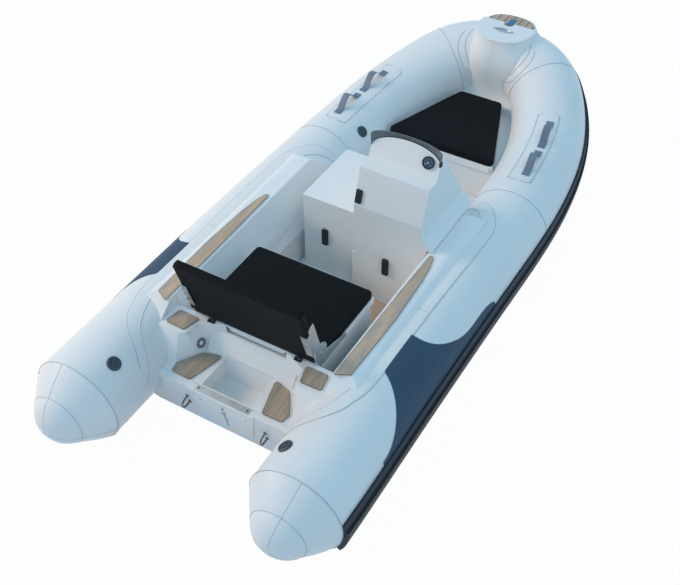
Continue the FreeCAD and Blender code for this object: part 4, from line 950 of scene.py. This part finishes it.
def cushion(name, outline, thick, place, body, replaced, crowns, edge=0.007):
    """Box cushion: two faces crowned by their own height, rounded edges and sides that swell a little.

    outline is in the cushion's own plane, place is a matrix from that plane into the frame."""
    loop = resampled(outline, CUSHION_AROUND)
    middle, normals = outline_normals(loop)
    low, high = crowns
    belly = CUSHION_BELLY

    def ring(inset, height, share=1.0):
        return [(middle + (p - n * inset - middle) * share, height) for p, n in zip(loop, normals)]

    rows = [ring(edge + belly, low * share ** CROWN_POWER, share) for share in CROWN_SHARES]
    rows += [ring(belly + edge * (1 - math.sin(a)), low + edge * (1 - math.cos(a))) for a in EDGE_TURNS]
    tall = thick - low - high - 2 * edge
    for k in range(1, SIDE_STEPS):
        rows.append(ring(belly * (1 - math.sin(math.pi * k / SIDE_STEPS)), low + edge + tall * k / SIDE_STEPS))
    rows += [ring(belly + edge * (1 - math.cos(a)), thick - high - edge + edge * math.sin(a)) for a in EDGE_TURNS]
    rows += [ring(edge + belly, thick - high * share ** CROWN_POWER, share) for share in reversed(CROWN_SHARES)]
    verts = [place @ Vector((q.x, q.y, z)) for row in rows for q, z in row]
    obj = add_solid(name, verts, capped_faces(len(rows), CUSHION_AROUND), "seat_cloth", body, replaced)
    seam_in = edge * PIPING_SHARE
    for number, z in enumerate((low + seam_in, thick - high - seam_in)):
        piping("%s_piping_%d" % (name, number), outline, z, place, body, belly + seam_in)


def piping(name, outline, z, place, body, inset):
    """Welted seam round a cushion, the same cloth over a cord."""
    loop = resampled(outline, PIPING_AROUND)
    normals = outline_normals(loop)[1]
    sides = PIPING_SIDES
    verts = []
    for p, normal in zip(loop, normals):
        for c, s in circle(sides):
            q = p + normal * (PIPING_R * c - inset)
            verts.append(place @ Vector((q.x, q.y, z + PIPING_R * s)))
    faces = []
    for i in range(PIPING_AROUND):
        n = (i + 1) % PIPING_AROUND
        for k in range(sides):
            m = (k + 1) % sides
            faces.append((i * sides + k, n * sides + k, n * sides + m, i * sides + m))
    add_solid(name, verts, faces, "seat_cloth", body)


def cushions():
    low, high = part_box("bench_cushion")
    outline = rounded_outline([(low.x, low.y), (high.x, low.y), (high.x, high.y), (low.x, high.y)], BENCH_CORNER)
    cushion("bench_cushion_cover", outline, high.z - low.z, Matrix.Translation((0, 0, low.z)), "bench_lid",
            ("bench_cushion",), crowns=(0.0, 0.006))

    low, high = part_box("bow_cushion")
    ahead = high.y - BOW_TAPER * (high.x - low.x)
    outline = rounded_outline([(low.x, -high.y), (high.x, -ahead), (high.x, ahead), (low.x, high.y)], BOW_CORNER)
    cushion("bow_cushion_cover", outline, high.z - low.z, Matrix.Translation((0, 0, low.z)), "bow_seat_lid",
            ("bow_cushion",), crowns=(0.0, 0.005))

    # The backrest's plane stands up and leans aft about its pivot: its own x is height, its own z is forward
    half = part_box("backrest")[1].y
    pivot = Matrix.Translation((PIVOT[0], 0, PIVOT[1]))
    upright = Matrix(((0, 0, 1, BACKREST_AFT_X), (0, 1, 0, 0), (1, 0, 0, BACKREST_LOW_Z), (0, 0, 0, 1)))
    place = pivot @ Matrix.Rotation(-BACKREST_LEAN, 4, "Y") @ pivot.inverted() @ upright
    corners = [(0, -half), (BACKREST_TALL, -half), (BACKREST_TALL, half), (0, half)]
    cushion("backrest_cover", rounded_outline(corners, BACKREST_CORNER), BACKREST_THICK, place, "backrest",
            ("backrest",), crowns=(0.002, 0.004), edge=0.006)


# Fittings; outlines are (radius, height)
BOLT = [(0.0052, 0.0), (0.0052, 0.0010), (0.0046, 0.0026), (0.0030, 0.0036), (0.0012, 0.0040)]
TRANSOM_RAKE = 0.217
# Height and outward distance of the centre bolt, and how far the plate's bolts are from its ends
CENTRE_BOLT = (0.238, 0.006)
PLATE_BOLT_INSET = 0.014
# Upright rib on the transom and its crossbar: height of the middle and size
RIB_PARTS = ((0.135, (0.005, 0.124, 0.0022)), (0.194, (0.022, 0.006, 0.0028)))
RIB_Y = 0.006
RIB_OUT = 0.0058
# (x, z) of the bolts on the seat's side plates, and heights above the pivot of those on the backrest's arms
BRACKET_BOLTS = ((0.345, 0.446), (0.470, 0.440))
ARM_BOLTS_UP = (0.055, 0.100, 0.145)
ARM_BOLT_INSET = 0.018
ARM_FACE = 0.0033
DRAIN_RING = [(0.0260, 0.0), (0.0260, 0.0034), (0.0242, 0.0050), (0.0150, 0.0048), (0.0125, 0.0036),
              (0.0118, 0.0018)]
DRAIN_MIDDLE = [(0.0112, 0.0019), (0.0112, 0.0024), (0.0060, 0.0030), (0.0010, 0.0031)]
DRAIN_BACK = 0.0025


def transom_point(y, z, out):
    x = (STERN_DECK_Z - z) * TRANSOM_RAKE
    return Vector((x, y, z)) + TRANSOM_OUT * out


def add_bolt(shape, origin, axis, along=(0, 1, 0)):
    shape.add(*revolved(BOLT, facing(origin, axis, along), 16))


def bolts():
    """Bolt heads on the transom, its plate, the seat's side plates and the backrest's arms; the transom's rib."""
    shape = Gathered()
    add_bolt(shape, transom_point(0.0, *CENTRE_BOLT), TRANSOM_OUT)
    low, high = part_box("transom_plate")
    for y in (low.y + PLATE_BOLT_INSET, high.y - PLATE_BOLT_INSET):
        add_bolt(shape, ((low.x + high.x) / 2, y, high.z), (0, 0, 1))
    # painted shade: the transom's bolts take the darker copy of the stainless
    shape.piece("transom_bolts", "stainless", look="dark_steel")

    shape = Gathered()
    for z, size in RIB_PARTS:
        shape.add(*block(facing(transom_point(RIB_Y, z, RIB_OUT), TRANSOM_OUT, (0, 1, 0)), size))
    # painted shadow: the rib and its crossbar take the grey-blue seam-shadow colour
    shape.piece("transom_rib", "gelcoat", look="seam")

    shape = Gathered()
    low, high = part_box("seat_brackets")
    for side, y in ((1, high.y), (-1, low.y)):
        for x, z in BRACKET_BOLTS:
            add_bolt(shape, (x, y, z), (0, side, 0), (1, 0, 0))
    shape.piece("bracket_bolts", "stainless", "bench_lid")

    shape = Gathered()
    low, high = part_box("backrest_arms")
    turn = Matrix.Rotation(-BACKREST_LEAN, 3, "Y")
    for y in (high.y - ARM_BOLT_INSET, low.y + ARM_BOLT_INSET):
        for up in ARM_BOLTS_UP:
            flange = Vector((BACKREST_AFT_X - PIVOT[0] - ARM_FACE, 0, up))
            seat = Vector((PIVOT[0], 0, PIVOT[1])) + turn @ flange
            add_bolt(shape, (seat.x, y, seat.z), turn @ Vector((-1, 0, 0)))
    shape.piece("arm_bolts", "stainless", "backrest")


def thin_disc(name):
    """Middle and axis of a flat round piece of the solid model."""
    obj = frame["nodes"][name]
    points = np.array([obj.matrix_world @ v.co for v in obj.data.vertices])
    middle = (points.min(axis=0) + points.max(axis=0)) / 2
    return middle, np.linalg.svd(points - points.mean(axis=0), full_matrices=False)[2][2]


def drain():
    middle, axis = thin_disc("well_drain")
    if axis[1] > 0:
        axis = -axis
    place = facing(middle - axis * DRAIN_BACK, axis, (0, 0, 1))
    shape = Gathered()
    shape.add(*revolved(DRAIN_RING, place))
    shape.piece("drain_ring", "black_rubber", replaces=("well_drain",), look="grey_plastic")
    shape = Gathered()
    shape.add(*revolved(DRAIN_MIDDLE, place))
    shape.piece("drain_middle", "gelcoat")


# Gauge on the dash: its middle as a share of the dash's height, off the dash and starboard of the hood's middle
GAUGE_UP = 0.41
GAUGE_OUT = 0.0073
GAUGE_Y = -0.1245
DIAL = [(0.0255, -0.001), (0.0255, 0.0004), (0.0200, 0.0006)]
DIAL_HUB = [(0.0032, 0.0004), (0.0032, 0.0016), (0.0020, 0.0020)]
DIAL_SWEEP = 270
DIAL_MARKS = 12
LONG_MARK = 0.0050
SHORT_MARK = 0.0030
MARK_REACH = 0.0228
MARK_W = 0.0011
MARK_T = 0.0004
MARK_LIFT = 0.0005
NEEDLE_SIZE = (0.0014, 0.0200, 0.0005)
NEEDLE_MIDDLE = (0, 0.0080, 0.0009)
NEEDLE_TURN = 120


def gauge_dial():
    """Dial, blank marks and needle inside the gauge's rim."""
    rise = DASH_TOP - DASH_FOOT
    up = rise.normalized()
    out = Vector((-up.z, 0, up.x))
    middle = DASH_FOOT + rise * GAUGE_UP + out * GAUGE_OUT + Vector((0, HOOD_MIDDLE_Y + GAUGE_Y, 0))
    place = facing(middle, out, (0, -1, 0))
    shape = Gathered()
    shape.add(*revolved(DIAL, place))
    shape.piece("gauge_dial", "gauge_face", HOOD, look="gauge_dial")
    shape = Gathered()
    for i in range(DIAL_MARKS + 1):
        turn = Matrix.Rotation(math.radians(-DIAL_SWEEP / 2 + DIAL_SWEEP * i / DIAL_MARKS), 4, "Z")
        long = LONG_MARK if i % 3 == 0 else SHORT_MARK
        mark = place @ turn @ Matrix.Translation((0, MARK_REACH - long / 2, MARK_LIFT))
        shape.add(*block(mark, (MARK_W, long, MARK_T)))
    needle = Matrix.Rotation(math.radians(NEEDLE_TURN), 4, "Z") @ Matrix.Translation(NEEDLE_MIDDLE)
    shape.add(*block(place @ needle, NEEDLE_SIZE))
    shape.add(*revolved(DIAL_HUB, place, 20))
    shape.piece("gauge_marks", "gauge_face", HOOD, look="gauge_marks")


# Windscreen: half an ellipse in plan, whose foot climbs over the middle of the dash
SCREEN_X = 1.312
SCREEN_DEEP = 0.035
SCREEN_T = 0.004
SCREEN_FLARE = 0.010
SCREEN_FLARE_OVER = 0.128
SCREEN_SUNK = 0.010
FOOT_CLIMB = 0.066
SCREEN_ENDS = 0.060
SCREEN_CROWN = 0.026
GASKET_R = 0.0026
CLAMP_SIZE = (0.020, 0.010, 0.024)


def screen_point(turn, z, inset):
    """Point on the windscreen, which flares as it rises; turn runs from its port end to its starboard end."""
    flare = SCREEN_FLARE * (z - ARCH_Z + SCREEN_SUNK) / SCREEN_FLARE_OVER - inset
    return (SCREEN_X + (SCREEN_DEEP + flare) * math.sin(turn),
            HOOD_MIDDLE_Y + (HOOD_HALF + flare) * math.cos(turn), z)


def screen_glass():
    """Wrap-round screen, deep at its two ends and low over the middle of the dash."""
    turns = np.linspace(0.0, math.pi, 65)
    shares = np.linspace(0.0, 1.0, 9)
    verts = []
    for a in turns:
        low = ARCH_Z + 0.0004 + FOOT_CLIMB * math.sin(a)
        high = ARCH_Z + SCREEN_ENDS + SCREEN_CROWN * math.sin(a) ** 0.6
        verts += [screen_point(a, low + (high - low) * t, 0.0) for t in shares]
        verts += [screen_point(a, low + (high - low) * t, SCREEN_T) for t in reversed(shares)]
    faces = capped_faces(len(turns), 2 * len(shares))
    glass = add_solid("screen_glass", verts, faces, "smoked_glass", HOOD, ("windscreen",))
    bevelled(glass, 0.0008, 2, 40)
    glass.modifiers.new("normals", "WEIGHTED_NORMAL")


def screen_gasket():
    """Rubber seal at the windscreen's foot and the clamp at its starboard end."""
    shape = Gathered()
    line = [(SCREEN_X + (SCREEN_DEEP - 0.0005) * math.sin(a), HOOD_MIDDLE_Y + (HOOD_HALF + 0.0005) * math.cos(a),
             ARCH_Z + 0.0012 + FOOT_CLIMB * math.sin(a)) for a in np.linspace(0.0, math.pi, 49)]
    shape.add(*swept_round(line, GASKET_R, 10))
    place = Matrix.Translation((SCREEN_X + 0.004, HOOD_MIDDLE_Y - HOOD_HALF + 0.001, ARCH_Z + 0.002))
    shape.add(*block(place, CLAMP_SIZE))
    shape.piece("screen_gasket", "black_rubber", HOOD)


PADS = ("stern_pads", "step_pads", "side_deck_pads", "floor_pad", "bow_step_pad")
BORDER_R = 0.0008


def dark_edges():
    """Thin dark border round each deck pad, along the outline of its top face."""
    for name in PADS:
        obj = frame["nodes"][name]
        work = bmesh.new()
        work.from_mesh(obj.data)
        bmesh.ops.transform(work, matrix=obj.matrix_world, verts=work.verts)
        bmesh.ops.remove_doubles(work, verts=work.verts, dist=JOIN_DISTANCE)
        work.normal_update()
        top = {f for f in work.faces if f.normal.z > 0.9}
        rims = [e for e in work.edges if sum(f in top for f in e.link_faces) == 1]
        shape = Gathered()
        while rims:
            edge = rims.pop()
            chain = [edge.verts[0], edge.verts[1]]
            while True:
                following = next((e for e in rims if chain[-1] in e.verts), None)
                if following is None:
                    break
                rims.remove(following)
                chain.append(following.other_vert(chain[-1]))
            shape.add(*swept_round([v.co for v in chain], BORDER_R, 6))
        work.free()
        shape.piece(name + "_border", "teak", look="black_rubber")


# Stage: a floor at the waterline and a sky that lights the boat; the camera and the glass see both as white
FLOOR_HALF = 30.0
FLOOR_COLOUR = rgb(0.60, 0.66, 0.72)
FLOOR_SEEN = 0.97
WHITE = rgb(1.0, 1.0, 1.0)
SKY_BLUE = rgb(0.49, 0.76, 0.96)
SKY_AFT = rgb(0.66, 0.72, 0.78)
SKY_STRENGTH = 0.86
KEY_PLACE = (-1.2, 7.0, 5.0)
KEY_TARGET = (1.3, 0.0, 0.2)
KEY_POWER = 340.0
KEY_SIZE = 3.0
KEY_COLOUR = (1.0, 0.70, 0.48)


def finished(tree, kind, share, a, b):
    """Output that takes a share of surface b and the rest of a."""
    mix = node(tree, "ShaderNodeMixShader")
    for i, value in enumerate((share, a, b)):
        feed(tree, mix.inputs[i], value)
    feed(tree, node(tree, kind).inputs[0], mix.outputs[0])


def set_stage():
    mesh = bpy.data.meshes.new("floor")
    corners = [(FLOOR_HALF * x, FLOOR_HALF * y, 0) for x, y in ((-1, -1), (1, -1), (1, 1), (-1, 1))]
    mesh.from_pydata(corners, [], [(0, 1, 2, 3)])
    floor = linked("floor", mesh)
    m, t = new_material("floor")
    path = node(t, "ShaderNodeLightPath")
    seen = maths(t, "MAXIMUM", path.outputs["Is Camera Ray"], path.outputs["Is Glossy Ray"])
    seen = maths(t, "MAXIMUM", seen, path.outputs["Is Transmission Ray"])
    soft = node(t, "ShaderNodeBsdfDiffuse")
    soft.inputs["Color"].default_value = FLOOR_COLOUR
    glow = node(t, "ShaderNodeEmission")
    glow.inputs["Color"].default_value = WHITE
    seen = maths(t, "MULTIPLY", seen, FLOOR_SEEN)
    finished(t, "ShaderNodeOutputMaterial", seen, soft.outputs[0], glow.outputs[0])
    mesh.materials.append(m)


def set_world():
    world = bpy.data.worlds.new("world")
    bpy.context.scene.world = world
    world.use_nodes = True
    t = world.node_tree
    t.nodes.clear()
    path = node(t, "ShaderNodeLightPath")
    seen = maths(t, "MAXIMUM", path.outputs["Is Camera Ray"], path.outputs["Is Transmission Ray"])
    light = node(t, "ShaderNodeBackground")
    parts = node(t, "ShaderNodeSeparateXYZ")
    feed(t, parts.inputs[0], node(t, "ShaderNodeTexCoord").outputs["Generated"])
    aft = maths(t, "SUBTRACT", maths(t, "MULTIPLY", parts.outputs[0], -1.0), parts.outputs[2])
    feed(t, light.inputs["Color"], mixed(t, ranged(t, aft, 0.1, 0.9), SKY_BLUE, SKY_AFT))
    light.inputs["Strength"].default_value = SKY_STRENGTH
    white = node(t, "ShaderNodeBackground")
    white.inputs["Color"].default_value = WHITE
    finished(t, "ShaderNodeOutputWorld", seen, light.outputs[0], white.outputs[0])


def set_key():
    """The one lamp: a low warm sun on the port side."""
    data = bpy.data.lights.new("key", "AREA")
    data.energy = KEY_POWER
    data.color = KEY_COLOUR
    data.shape = "DISK"
    data.size = KEY_SIZE
    lamp = linked("key", data)
    lamp.location = KEY_PLACE
    lamp.rotation_mode = "QUATERNION"
    lamp.rotation_quaternion = (Vector(KEY_TARGET) - Vector(KEY_PLACE)).to_track_quat("-Z", "Y")


def main():
    bpy.context.scene.view_settings.view_transform = "Standard"
    set_camera()
    set_stage()
    set_world()
    set_key()
    dress_cad()
    tube_skin()
    tube_seams()
    handles()
    valves()
    cushions()
    bolts()
    drain()
    gauge_dial()
    screen_glass()
    screen_gasket()
    dark_edges()


main()
